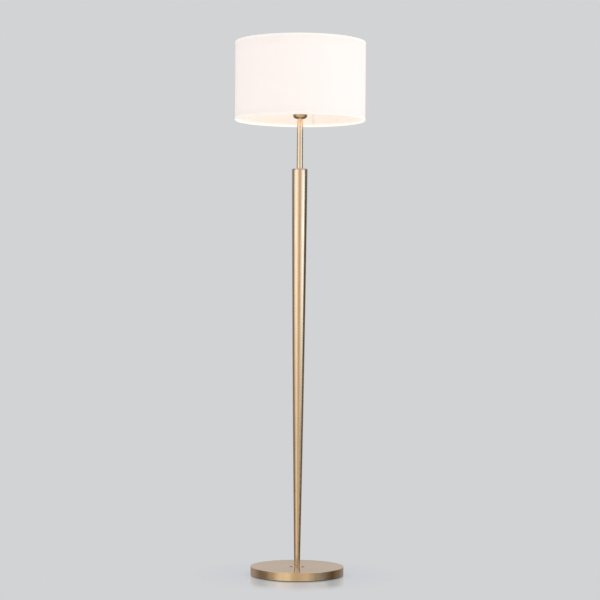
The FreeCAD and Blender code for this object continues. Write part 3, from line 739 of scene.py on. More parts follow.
@dataclass(frozen=True)
class LitFilm(Finish):
    """The stiff film behind the cloth, with a painted peach glow standing in for the bulb's light.
    """

    name: str = "shade_film"
    colour: Colour = (0.86, 0.82, 0.765)
    glow: Colour = (0.25, 0.215, 0.195)
    middle: float = 1.44
    fall_off: float = 6.0
    lap_angle: float = 1.358
    lap_half: float = 0.026
    lap_dim: float = 0.8

    def dress(self, recipe: Recipe) -> None:
        """The painted glow falls off with the square of the height away from the bulb. The strip
        where the cloth laps over itself gets painted shade: a dimmer glow and a darker colour.

        Args:
            recipe: the material's node tree.
        """
        _, _, z = recipe.split(recipe.place())
        # painted glow: falls off with the height away from the bulb
        away = recipe.times(recipe.plus(z, -self.middle), self.fall_off)
        fall = recipe.math("DIVIDE", 1.0, recipe.plus(1.0, recipe.times(away, away)))
        cloud = recipe.noise(recipe.place(), 35.0, 3.0, 0.55)
        fibre = recipe.noise(recipe.place(), 900.0, 2.0, 0.6)
        x, y, _ = recipe.split(recipe.place())
        # painted shade on the lapped strip: a dimmer glow there
        off = recipe.plus(recipe.math("ARCTAN2", y, x), -self.lap_angle)
        lap_shade = recipe.span(recipe.math("ABSOLUTE", off), self.lap_half * 0.8, self.lap_half,
                             1.0, 0.0)
        fall = recipe.times(fall, recipe.span(lap_shade, 0.0, 1.0, 1.0, self.lap_dim))
        strength = recipe.times(recipe.span(fall, 0.4, 1.0, 0.86, 1.1),
                                recipe.span(recipe.plus(cloud, fibre), 0.6, 1.4, 0.97, 1.03))
        pale = recipe.mix(fibre, shade_of(self.colour, 0.96), self.colour)
        # painted shade: the lapped strip's colour is darkened
        recipe.surface(Base_Color=recipe.mix(lap_shade, pale, shade_of(self.colour, 0.88)),
                       Roughness=recipe.span(cloud, 0.3, 0.7, 0.42, 0.6),
                       Emission_Color=self.glow, Emission_Strength=strength,
                       Normal=recipe.bump(fibre, 0.15, 0.00004))


@dataclass(frozen=True)
class HemTape(Finish):
    """Ribbed tape folded over the rims, with a painted glow standing in for the bulb's light
    through it.
    """

    name: str = "hem_tape"
    colour: Colour = (0.92, 0.91, 0.89)
    glow: Colour = (0.41, 0.37, 0.34)
    rim_radius: float = 0.19
    rib: float = 0.0009

    def dress(self, recipe: Recipe) -> None:
        """Ribs run across the tape: a cosine of the distance round the rim.

        Args:
            recipe: the material's node tree.
        """
        x, y, _ = recipe.split(recipe.place())
        around = recipe.times(recipe.math("ARCTAN2", y, x), self.rim_radius)
        wave = recipe.math("COSINE", recipe.times(around, TURN / self.rib))
        ribs = recipe.span(wave, -1.0, 1.0)
        fuzz = recipe.noise(recipe.place(), 2400.0, 2.0, 0.6)
        height = recipe.plus(ribs, recipe.times(fuzz, 0.5))
        # painted glow, a little brighter on the ribs
        recipe.surface(Base_Color=recipe.mix(fuzz, shade_of(self.colour, 0.96), self.colour),
                       Roughness=recipe.span(height, 0.0, 1.5, 0.95, 0.8),
                       Emission_Color=self.glow,
                       Emission_Strength=recipe.span(height, 0.0, 1.5, 0.96, 1.03),
                       Normal=recipe.bump(height, 0.4, 0.00006))


@dataclass(frozen=True)
class PaintedWire(Finish):
    """White stove enamel on wire and pressed steel."""

    name: str = "white_wire"
    colour: Colour = (0.82, 0.81, 0.79)
    chipped: Colour = (0.35, 0.34, 0.33)

    def dress(self, recipe: Recipe) -> None:
        """Orange-peel waviness with a few chips that show grey.

        Args:
            recipe: the material's node tree.
        """
        peel = recipe.noise(recipe.place(), 480.0, 2.0, 0.5)
        chips = recipe.noise(recipe.place(), 170.0, 5.0, 0.7)
        colour = recipe.mix(recipe.span(chips, 0.72, 0.74), self.colour, self.chipped)
        recipe.surface(Base_Color=colour, Roughness=recipe.span(peel, 0.3, 0.7, 0.26, 0.38),
                       Normal=recipe.bump(peel, 0.3, 0.00006))


BRASS = SpunMetal()
CLOTH = LampCloth()
FILM = LitFilm()
TAPE = HemTape()
WIRE = PaintedWire()
OPAL = OpalGlow()
BLACK_PLASTIC = Moulded("holder_black", (0.018, 0.018, 0.019), 0.36, specks=0.15)
CONE_PLASTIC = Moulded("bulb_white", (0.80, 0.80, 0.78), 0.36, 1100.0, specks=0.1)
PAD_RUBBER = Moulded("pad_rubber", (0.018, 0.018, 0.018), 0.78, 900.0, 0.00012, 0.25)
BUSH_RUBBER = Moulded("black_rubber", (0.012, 0.012, 0.012), 0.6, 1200.0, 0.00005)
SLOT_FINISHES: dict[str, Finish] = {
    "satin_brass": BRASS,
    "zinc_steel": PlainMetal("zinc_steel", (0.55, 0.55, 0.53)),
    "cast_iron": CastIron(),
    "pad_rubber": PAD_RUBBER,
    "black_rubber": BUSH_RUBBER,
    "holder_black": BLACK_PLASTIC,
    "insert_ceramic": Moulded("insert_ceramic", (0.78, 0.75, 0.69), 0.5, 700.0, 0.00005, 0.4),
    "contact_brass": PlainMetal("contact_brass", (0.72, 0.50, 0.20), 0.22),
    "cap_nickel": PlainMetal("cap_nickel", (0.66, 0.64, 0.60), 0.24),
    "insulator_black": Moulded("insulator_black", (0.01, 0.01, 0.012), 0.18, 500.0),
    "bulb_white": CONE_PLASTIC,
    "circuit_board": CircuitBoard(),
    "led_aluminium": PlainMetal("led_aluminium", (0.80, 0.80, 0.80), 0.30),
    "led_yellow": Moulded("led_yellow", (0.85, 0.55, 0.07), 0.3, 800.0),
    "bulb_opal": OPAL,
    "shade_cloth": CLOTH,
    "shade_film": FILM,
    "hem_tape": TAPE,
    "white_wire": WIRE,
}


# ------------------------------------------------------------------ pieces


def mesh_of(name: str, surface: Surface, finish: Finish,
            sharp: float = SMOOTH_BELOW) -> bpy.types.Mesh:
    """Make a surface's mesh in its finish, with its flat distances as a UV map if it has them.

    Args:
        name: the mesh's name.
        surface: its vertices and faces.
        finish: what it is made of.
        sharp: angle in degrees from which an edge isn't smoothed.

    Returns:
        The new mesh.
    """
    mesh = bpy.data.meshes.new(name)
    faces = surface.quads.tolist() + surface.triangles.tolist()
    mesh.from_pydata(surface.points.tolist(), [], faces)
    if surface.flat is not None:
        corners = np.zeros(len(mesh.loops), np.int32)
        mesh.loops.foreach_get("vertex_index", corners)
        layer = mesh.uv_layers.new(name="flat")
        layer.uv.foreach_set("vector", surface.flat[corners].astype(np.float32).ravel())
    mesh.shade_smooth()
    mesh.set_sharp_from_angle(angle=math.radians(sharp))
    mesh.materials.append(material_of(finish))
    mesh.update()
    return mesh


def add_piece(name: str, surface: Surface, finish: Finish, body: Body,
              replaces: Sequence[str] = (), sharp: float = SMOOTH_BELOW) -> bpy.types.Object:
    """Make a surface a piece of the lamp.

    Args:
        name: the piece's name.
        surface: its closed surface, in place.
        finish: what it is made of; its name is the record's slot.
        body: the frame's body that it rides on.
        replaces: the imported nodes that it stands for.
        sharp: angle in degrees from which an edge isn't smoothed.

    Returns:
        The new object.
    """
    mesh = mesh_of(name, surface, finish, sharp)
    piece = bpy.data.objects.new(name, mesh)
    bpy.context.scene.collection.objects.link(piece)
    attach(piece, body.value)
    if replaces:
        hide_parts(*replaces)
    log.info("%s: %d faces on %s", name, len(mesh.polygons), body.value)
    return piece


def reach(node: str) -> tuple[float, float, float]:
    """A turned node's radius, lowest height and highest height, from the frame."""
    low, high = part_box(node)
    return high.x, low.z, high.z


def dress_frame_nodes() -> None:
    """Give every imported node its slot's finish, shown or not."""
    slots = {part["node"]: part["material_slot"] for part in frame["record"]["subparts"]}
    for name, node in frame["nodes"].items():
        node.data.materials.clear()
        node.data.materials.append(material_of(SLOT_FINISHES[slots[name]]))
    log.info("finishes given to %d packed nodes", len(slots))


@dataclass
class Base:
    """Pad, spun cover, cable bush and the plate under the column."""

    wall: float = 1.2 * MM
    edge: float = 1.3 * MM
    centre_hole: float = 5.05 * MM
    bush_hole: float = 4.95 * MM
    drill_depth: float = 20.0 * MM
    pad_edge: float = 0.6 * MM
    bush_bore: float = 3.5 * MM
    bush_lip: float = 1.5 * MM
    bush_play: float = 0.05 * MM

    def cover(self) -> None:
        """The cover, a turned wall and top, with the bush's hole cut through its back."""
        radius, low, high = reach("base_cover")
        inner = radius - self.wall
        outline = rounded([
            (inner, low, 0.2 * MM), (radius, low, 0.2 * MM), (radius, high, self.edge),
            (self.centre_hole, high), (self.centre_hole, high - self.wall),
            (inner, high - self.wall, 0.5 * MM)], 7)
        piece = add_piece("cover", lathe(outline, 360), BRASS, Body.STAND, ["base_cover"])
        bush_low, bush_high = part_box("cable_grommet")
        height = (bush_low.z + bush_high.z) / 2
        drill = lathe(rounded([
            (0, 0), (self.bush_hole, 0), (self.bush_hole, self.drill_depth),
            (0, self.drill_depth)]), 64)
        drill.points = drill.points[:, [0, 2, 1]] + [0.0, radius - self.drill_depth / 2, height]
        mesh = mesh_of("bush_drill", drill.outward(), BRASS)
        cutter = bpy.data.objects.new("bush_drill", mesh)
        bpy.context.scene.collection.objects.link(cutter)
        cut = piece.modifiers.new("bush_hole", "BOOLEAN")
        cut.object, cut.operation, cut.solver = cutter, "DIFFERENCE", "EXACT"
        graph = bpy.context.evaluated_depsgraph_get()
        drilled = bpy.data.meshes.new_from_object(piece.evaluated_get(graph))
        piece.modifiers.clear()
        piece.data = drilled
        drilled.set_sharp_from_angle(angle=math.radians(SMOOTH_BELOW))
        bpy.data.objects.remove(cutter)

    def pad(self) -> None:
        """The foam pad, a plain disc with softened edges."""
        radius, low, high = reach("base_pad")
        outline = rounded([
            (0, low), (radius, low, self.pad_edge), (radius, high, self.pad_edge), (0, high)])
        add_piece("foot_pad", lathe(outline, 240), PAD_RUBBER, Body.STAND, ["base_pad"])

    def bush(self) -> None:
        """The flanged rubber bush, turned about its own axis and then laid along y."""
        low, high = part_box("cable_grommet")
        flange, neck, bore = high.x, self.bush_hole - self.bush_play, self.bush_bore
        length = high.y - low.y
        under = length - self.bush_lip
        outline = rounded([
            (bore, 0, 0.3 * MM), (neck, 0, 0.3 * MM), (neck, under), (flange, under, 0.2 * MM),
            (flange, length, 0.6 * MM), (bore, length, 0.6 * MM)], 5)
        surface = lathe(outline, 72)
        surface.points = surface.points[:, [0, 2, 1]] + [0.0, low.y, (low.z + high.z) / 2]
        add_piece("cable_bush", surface.outward(), BUSH_RUBBER, Body.STAND, ["cable_grommet"])

    def flange(self) -> None:
        """The thin plate between cover and column, with both edges eased."""
        radius, low, high = reach("foot_flange")
        outline = rounded([
            (self.centre_hole, low), (radius, low, 0.2 * MM), (radius, high, 0.5 * MM),
            (self.centre_hole, high)], 5)
        add_piece("flange", lathe(outline, 192), BRASS, Body.STAND, ["foot_flange"])

    def build(self) -> None:
        """Make the base's pieces."""
        self.pad()
        self.cover()
        self.bush()
        self.flange()


@dataclass
class Column:
    """The tapered tube and the cap in its head."""

    foot_radius: float = 8.5 * MM
    swell: float = 1.4 * MM
    wall: float = 1.5 * MM
    bore: float = 5.05 * MM
    ease: float = 0.2 * MM
    hold: float = 1.2 * MM
    spigot_play: float = 0.15 * MM
    rows: int = 72

    def side(self, low: float, high: float, head: float) -> np.ndarray:
        """Points up the outside: the chord from foot to head plus the rise of one flat arc.

        The arc's radius is (chord squared / 4 + swell squared) / (2 swell). At a distance t from
        the middle of the chord it rises by root(radius squared - t squared) - (radius - swell).

        Args:
            low: the foot's height.
            high: the head's height.
            head: the radius at the head.

        Returns:
            (radius, height) points from the foot up.
        """
        length, out = high - low, head - self.foot_radius
        chord = math.hypot(length, out)
        big = (chord * chord / 4 + self.swell ** 2) / (2 * self.swell)
        t = np.linspace(-0.5, 0.5, self.rows) * chord
        rise = np.sqrt(big * big - t * t) - (big - self.swell)
        along = (t / chord + 0.5)[:, None]
        line = np.array([self.foot_radius, low]) + along * np.array([out, length])
        return line + rise[:, None] * np.array([length, -out]) / chord

    def tube(self) -> None:
        """The rolled tube: the outside arc, eased ends and the inside a wall away."""
        head, low, high = reach("column_tube")
        outside = self.side(low, high, head)
        inside = outside[::-1] - [self.wall, 0.0]
        foot, top, ease, hold = outside[:1], outside[-1:], [0, self.ease], [0, self.hold]
        outline = np.concatenate([
            [[outside[0, 0] - self.ease, low]], foot + ease, foot + hold, outside[1:-1],
            top - hold, top - ease, [[outside[-1, 0] - self.ease, high]], inside])
        add_piece("column", lathe(outline, 192), BRASS, Body.STAND, ["column_tube"], 50.0)

    def cap(self) -> None:
        """The turned cap: a spigot inside the tube and a flat head with an eased rim."""
        radius, low, high = reach("column_top_cap")
        _, _, tube_high = reach("column_tube")
        spigot = radius - self.wall - self.spigot_play
        outline = rounded([
            (self.bore, low), (spigot, low, 0.4 * MM), (spigot, tube_high),
            (radius, tube_high, 0.15 * MM), (radius, high, 0.5 * MM), (self.bore, high)], 5)
        add_piece("column_cap", lathe(outline, 192), BRASS, Body.STAND, ["column_top_cap"])

    def build(self) -> None:
        """Make the column's pieces."""
        self.tube()
        self.cap()


@dataclass
class Stem:
    """The slim upper tube and the spun cup under the lampholder."""

    tube_wall: float = 1.2 * MM
    cup_wall: float = 0.8 * MM
    cup_floor: float = 9.0 * MM
    floor_step: float = 0.5 * MM
    wall_step: float = 0.6 * MM
    bore: float = 5.05 * MM

    def tube(self) -> None:
        """A straight tube with eased ends."""
        radius, low, high = reach("upper_tube")
        inner = radius - self.tube_wall
        outline = rounded([
            (inner, low), (radius, low, 0.25 * MM), (radius, high, 0.25 * MM), (inner, high)], 4)
        add_piece("slim_tube", lathe(outline, 128), BRASS, Body.STAND, ["upper_tube"])

    def cup(self) -> None:
        """A round bottom, a straight wall and a rolled rim.

        The bottom is a quarter circle, centre + (sin t, -cos t) times its radius, and the rim a
        half circle as wide as the wall. A support point beyond each end of the bend keeps the
        floor and the wall shading flat."""
        radius, low, high = reach("socket_cup")
        curve = radius - self.cup_floor
        t = np.linspace(0, math.pi / 2, 25)[:, None]
        quarter = np.concatenate([np.sin(t), -np.cos(t)], axis=1)
        centre = np.array([self.cup_floor, low + curve])
        outside = centre + quarter * curve
        inside = centre + quarter[::-1] * (curve - self.cup_wall)
        s = np.linspace(0, math.pi, 9)[:, None]
        lip = self.cup_wall / 2
        half = np.concatenate([np.cos(s), np.sin(s)], axis=1)
        rim = np.array([radius - lip, high - lip]) + lip * half
        straight = low + curve + self.wall_step
        outline = np.concatenate([
            [[self.bore, low + self.cup_wall], [self.bore, low]],
            [[self.cup_floor - self.floor_step, low]], outside, [[radius, straight]], rim,
            [[radius - self.cup_wall, straight]], inside])
        add_piece("cup", lathe(outline, 192), BRASS, Body.STAND, ["socket_cup"], 50.0)

    def build(self) -> None:
        """Make the stem's pieces."""
        self.tube()
        self.cup()


@dataclass
class Lampholder:
    """The holder's skirt with its outside thread, and the ring that screws on it."""

    holder_radius: float = 18.5 * MM
    bore: float = 17.5 * MM
    shoulder_rise: float = 28.0 * MM
    shoulder_thickness: float = 4.0 * MM
    thread_radius: float = 19.75 * MM
    thread_depth: float = 0.7 * MM
    thread_start: float = 0.3 * MM
    thread_rows: int = 96
    root_width: float = 1.35
    pitch: float = 2.5 * MM
    mouth_chamfer: float = 0.5 * MM
    mouth_ease: float = 0.3 * MM
    ring_radius: float = 26.5 * MM
    ring_bore: float = 19.8 * MM
    notches: int = 16
    notch_depth: float = 0.75 * MM
    notch_half_width: float = 1.3 * MM
    wall_band: float = 1.2 * MM

    def skirt(self) -> None:
        """The skirt. Above the shoulder the radius drops by the thread's depth times a rounded
        saw of (height / pitch - angle / full turn), which fades out at both ends."""
        radius, low, high = reach("holder_skirt")
        shoulder = low + self.shoulder_rise
        under = shoulder - self.shoulder_thickness
        rows = np.linspace(shoulder + self.thread_start, high - self.mouth_chamfer,
                           self.thread_rows)
        thread = np.stack([np.full(len(rows), self.thread_radius), rows], -1)
        foot = rounded([
            (self.bore, low), (self.holder_radius, low, 0.4 * MM),
            (self.holder_radius, under, 0.3 * MM), (radius, under, 0.6 * MM),
            (radius, shoulder, 0.6 * MM), (self.thread_radius, shoulder)], 5)
        mouth = [[self.thread_radius - self.mouth_chamfer, high],
                 [self.bore + self.mouth_ease, high], [self.bore, high - self.mouth_ease]]
        outline = np.concatenate([foot, thread, mouth])

        def groove(angle: np.ndarray, r: np.ndarray, z: np.ndarray) -> np.ndarray:
            """Minus the thread's depth in the groove, 0 on the crest and away from the thread.

            Args:
                angle: angles round the axis, in radians.
                r: radii of the plain outline.
                z: heights.

            Returns:
                The change of radius at each point.
            """
            wave = 0.5 - 0.5 * np.cos(TURN * (z / self.pitch - angle / TURN))
            rise = np.clip((z - shoulder) / self.pitch, 0, 1)
            fade = rise * np.clip((high - z) / self.pitch, 0, 1)
            on = (np.abs(r - self.thread_radius) < 0.01 * MM) & (z > shoulder)
            cut = np.clip(self.root_width * wave, 0, 1)
            return np.where(on, -self.thread_depth * cut * fade, 0.0)

        add_piece("holder_sleeve", lathe(outline, 160, groove), BLACK_PLASTIC, Body.STAND,
                  ["holder_skirt"], 60.0)

    def ring(self) -> None:
        """The clamp ring. Its grips are shallow round notches: the outer radius drops by depth
        times the root of (1 - (distance from the notch's middle / half its width) squared)."""
        low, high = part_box("shade_clamp_ring")
        radius, bore = self.ring_radius, self.ring_bore
        outline = rounded([
            (bore, low.z, 0.4 * MM), (radius, low.z, 0.5 * MM), (radius, high.z, 0.9 * MM),
            (bore, high.z, 0.6 * MM)], 5)

        def notch(angle: np.ndarray, r: np.ndarray, z: np.ndarray) -> np.ndarray:
            """The notch's depth where the wall is, and 0 elsewhere.

            Args:
                angle: angles round the axis, in radians.
                r: radii of the plain outline.
                z: heights, not used.

            Returns:
                The change of radius at each point.
            """
            step = TURN / self.notches
            away = (np.mod(angle + step / 2, step) - step / 2) * radius / self.notch_half_width
            return np.where(r > radius - self.wall_band,
                            -self.notch_depth * np.sqrt(np.clip(1 - away * away, 0, 1)), 0.0)

        add_piece("grip_ring", lathe(outline, 384, notch), BLACK_PLASTIC, Body.CLAMP_RING,
                  ["shade_clamp_ring"], 50.0)

    def build(self) -> None:
        """Make the holder's pieces that show from above and below."""
        self.skirt()
        self.ring()


@dataclass
class Bulb:
    """The bulb's plastic cone and its opal globe."""

    wall: float = 1.2 * MM
    neck: float = 13.5 * MM
    waist: float = 16.3 * MM
    waist_height: float = 1.3893
    waist_curve: float = 12.0 * MM
    inner_curve: float = 11.0 * MM
    globe_radius: float = 30.0 * MM

    def globe(self) -> None:
        """A ball cut off below its middle: radius R cos t and height R sin t round its centre."""
        _, low, high = reach("bulb_globe")
        centre = high - self.globe_radius
        shells = []
        for size in (self.globe_radius, self.globe_radius - self.wall):
            start = math.asin((low - centre) / size)
            t = np.linspace(start, math.pi / 2, 40)
            shells.append(np.stack([size * np.cos(t), centre + size * np.sin(t)], -1))
        shells[0][-1, 0] = shells[1][-1, 0] = 0.0
        outline = np.concatenate([shells[1][::-1], shells[0]])
        add_piece("globe", lathe(outline, 128), OPAL, Body.BULB, ["bulb_globe"], 50.0)

    def housing(self) -> None:
        """The cone: neck, waist at the sleeve's mouth and the wide rim under the globe."""
        wide, low, high = reach("bulb_housing")
        outline = rounded([
            (self.neck - self.wall, low), (self.neck, low),
            (self.waist, self.waist_height, self.waist_curve), (wide, high, 0.2 * MM),
            (wide - self.wall, high),
            (self.waist - self.wall, self.waist_height, self.inner_curve)], 10)
        add_piece("bulb_cone", lathe(outline, 128), CONE_PLASTIC, Body.BULB, ["bulb_housing"])

    def build(self) -> None:
        """Make the bulb's pieces."""
        self.globe()
        self.housing()


@dataclass
class Shade:
    """The drum: cloth on stiff film, taped rims, wire hoops, three arms and the fitter ring."""

    cloth_thickness: float = 0.5 * MM
    film_thickness: float = 0.45 * MM
    tape: float = 0.4 * MM
    tape_width: float = 6.0 * MM
    upper_return: float = 1.8 * MM
    lap: float = 10.0 * MM
    climb_share: float = 0.6
    press_share: float = 0.9
    seam_angle: float = 76.3
    film_gap: float = 0.03 * MM
    hem_swell: float = 0.45 * MM
    hem_wave: float = 0.05 * MM
    wall_band: float = 1.2 * MM
    wire_radius: float = 1.6 * MM
    hoop_radius: float = 1.75 * MM
    bend: float = 16.0 * MM
    foot_inset: float = 4.0 * MM
    corner_out: float = 8.0 * MM
    tip_gap: float = 0.05 * MM
    fitter_bore: float = 20.2 * MM
    hoop_weld: tuple[float, float, float] = (1.9 * MM, 2.1 * MM, 1.9 * MM)
    ring_weld: tuple[float, float, float] = (1.5 * MM, 2.6 * MM, 0.9 * MM)
    ring_weld_places: tuple[float, float] = (1.0 * MM, 4.5 * MM)
    ring_weld_rise: float = 0.3 * MM
    first_arm: float = 90.0
    arm_step: float = 120.0
    columns: int = 480
    rows: int = 40

    @property
    def cut(self) -> tuple[float, float]:
        """The cloth's length and height laid flat: once round the drum and the lap, by its rise."""
        radius, low, high = reach("shade_fabric")
        return TURN * radius + self.lap, high - low

    def drift(self, angle: np.ndarray, height: np.ndarray) -> np.ndarray:
        """How far the wall strays from a true cylinder: a few slow waves, none at the rims.

        It is the sum of sines of 3, 7 and 13 to the turn, the last one leaning with the height,
        less a constant, times the sine of the rise to the power 0.8, in millimetres.

        Args:
            angle: angles round the axis, in radians.
            height: heights.

        Returns:
            The change of radius at each point.
        """
        _, low, high = reach("shade_fabric")
        rise = np.clip((height - low) / (high - low), 0, 1)
        bulge = np.sin(math.pi * rise) ** 0.8
        waves = (0.10 * np.sin(3 * angle + 0.7) + 0.07 * np.sin(7 * angle + 2.1)
                 + 0.05 * np.sin(13 * angle + 4.0 * rise))
        return (waves - 0.12) * bulge * MM

    def cloth(self) -> bpy.types.Object:
        """One strip wound once round the film from the seam, its last lap glued over the start.

        The angle is the seam's plus the distance along / radius. The radius is the drum's plus
        the drift, and just before the lap it climbs by the pressed cloth's thickness on the
        smooth step c c (3 - 2 c).

        Returns:
            The cloth.
        """
        radius, low, high = reach("shade_fabric")
        start = math.radians(self.seam_angle)
        length, _ = self.cut
        along = np.linspace(0, length, self.columns)[None, :]
        run = self.lap * self.climb_share
        climb = np.clip((along - (TURN * radius - run)) / run, 0, 1)
        lift = climb * climb * (3 - 2 * climb) * self.cloth_thickness * self.press_share
        height = np.linspace(low, high, self.rows)[:, None] + 0 * along
        angle = start + along / radius + 0 * height
        face = radius + lift + self.drift(angle, height)
        faces = [np.stack([size * np.cos(angle), size * np.sin(angle), height], -1)
                 for size in (face, face - self.cloth_thickness)]
        flat = np.stack([along + 0 * height, height - low], -1)
        return add_piece("cloth", slab(*faces, flat), CLOTH, Body.SHADE,
                         ["shade_fabric", "shade_seam"])

    def film(self) -> None:
        """The stiff film, a closed hoop just inside the cloth that follows the same drift."""
        radius, low, high = reach("shade_liner")
        outer = radius - self.film_gap
        inner = outer - self.film_thickness
        rows = np.linspace(low, high, self.rows)
        outline = np.concatenate([
            np.stack([np.full(self.rows, outer), rows], -1),
            np.stack([np.full(self.rows, inner), rows[::-1]], -1)])
        surface = lathe(outline, 360, lambda angle, r, z: self.drift(angle, z))
        add_piece("film", surface, FILM, Body.SHADE, ["shade_liner"])

    def hem(self, side: Side) -> bpy.types.Object:
        """Tape folded over a rim: an outer leg on the cloth, a round fold and an inner leg
        behind the hoop. Its outer leg is slightly wavy, and it swells over the lap.

        Args:
            side: which rim.

        Returns:
            The hem.
        """
        lower = side is Side.LOWER
        node = "shade_bottom_hem" if lower else "shade_top_hem"
        low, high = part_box(node)
        outer, t = high.x, self.tape
        inside = outer - t - self.cloth_thickness * 2 - self.hoop_radius * 2 - t
        leg = self.tape_width if lower else self.upper_return
        corners = [
            (inside, 0, 1.3 * MM), (outer, 0, 1.4 * MM), (outer, self.tape_width, 0.12 * MM),
            (outer - t, self.tape_width, 0.12 * MM), (outer - t, t, 1.0 * MM),
            (inside + t, t, 0.9 * MM), (inside + t, leg, 0.12 * MM), (inside, leg, 0.12 * MM)]
        outline = rounded(corners, 6)
        rim = low.z if lower else high.z
        outline[:, 1] = rim + outline[:, 1] * side.value
        seam = math.radians(self.seam_angle) + self.lap / 2 / outer

        def swell(angle: np.ndarray, r: np.ndarray, z: np.ndarray) -> np.ndarray:
            """A low hump over the lap, e to the -(distance / 0.8 lap) to the fourth, plus a
            product of two sines that grows down the outer leg.

            Args:
                angle: angles round the axis, in radians.
                r: radii of the plain outline.
                z: heights.

            Returns:
                The change of radius at each point.
            """
            away = np.mod(angle - seam + math.pi, TURN) - math.pi
            hump = np.exp(-((away * outer / (self.lap * 0.8)) ** 4)) * self.hem_swell
            wave = self.hem_wave * np.sin(11 * angle + 1.3) * np.sin(5 * angle)
            depth = np.clip(np.abs(z - rim) / self.tape_width, 0, 1)
            return np.where(r > outer - self.wall_band, hump + wave * depth, 0.0)

        name = "lower_hem" if lower else "upper_hem"
        return add_piece(name, lathe(outline, 480, swell), TAPE, Body.SHADE, [node])

    def hoop(self, name: str, node: str) -> None:
        """A wire hoop: the circle middle + size (cos t, sin t), turned round the axis.

        Args:
            name: the piece's name.
            node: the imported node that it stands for.
        """
        radius, low, high = reach(node)
        size = (high - low) / 2
        t = np.arange(HOOP_SIDES) / HOOP_SIDES * TURN
        outline = np.stack([radius - size + size * np.cos(t),
                            (low + high) / 2 + size * np.sin(t)], -1)
        add_piece(name, lathe(outline, 300), WIRE, Body.SHADE, [node], 180.0)

    def fitter(self) -> None:
        """The pressed ring on the lampholder's shoulder, with eased edges."""
        radius, low, high = reach("shade_fitter_ring")
        outline = rounded([
            (self.fitter_bore, low, 0.3 * MM), (radius, low, 0.4 * MM),
            (radius, high, 0.4 * MM), (self.fitter_bore, high, 0.3 * MM)], 4)
        add_piece("fitter_ring", lathe(outline, 160), WIRE, Body.SHADE, ["shade_fitter_ring"])

    def arms(self) -> None:
        """Three bent wires from the fitter ring up to the upper hoop.

        In its upright plane each follows a flat run, one arc that turns it upwards and a
        straight slope to the hoop, with a bead of weld at the hoop and two on the ring."""
        ring_radius, _, ring_high = reach("shade_fitter_ring")
        hoop_outer, hoop_low, hoop_high = reach("shade_top_ring")
        hoop = np.array([hoop_outer - self.hoop_radius, (hoop_low + hoop_high) / 2])
        corner = np.array([ring_radius + self.corner_out, ring_high + self.wire_radius])
        foot = np.array([ring_radius - self.foot_inset, corner[1]])
        slope = (hoop - corner) / np.linalg.norm(hoop - corner)
        tip = hoop - slope * (self.hoop_radius + self.tip_gap)
        start = corner - [self.bend * (1 - slope[0]) / slope[1], 0.0]
        centre = start + [0.0, self.bend]
        t = np.linspace(0, math.atan2(slope[1], slope[0]), 18)
        arc = centre + self.bend * np.stack([np.sin(t), -np.cos(t)], -1)
        flat = foot + (arc[0] - foot) * np.linspace(0, 1, 8)[:-1, None]
        rise = arc[-1] + (tip - arc[-1]) * np.linspace(0, 1, 24)[1:, None]
        body = wire(np.concatenate([flat, arc, rise]), self.wire_radius)
        beads = ball((tip[0], 0.0, tip[1]), self.hoop_weld)
        for out in self.ring_weld_places:
            place = (foot[0] + out, 0.0, ring_high + self.ring_weld_rise)
            beads = beads.joined(ball(place, self.ring_weld))
        for number in (1, 2, 3):
            angle = math.radians(self.first_arm + self.arm_step * (number - 1))
            add_piece(f"arm_{number}", body.turned(angle), WIRE, Body.SHADE,
                      [f"shade_arm_{number}"], 60.0)
            add_piece(f"weld_{number}", beads.turned(angle), WIRE, Body.SHADE)

    def build(self) -> None:
        """Make the shade."""
        cloth = self.cloth()
        self.film()
        hems = [self.hem(side) for side in Side]
        self.hoop("lower_hoop", "shade_bottom_ring")
        self.hoop("upper_hoop", "shade_top_ring")
        self.fitter()
        self.arms()


# ------------------------------------------------------------------ studio


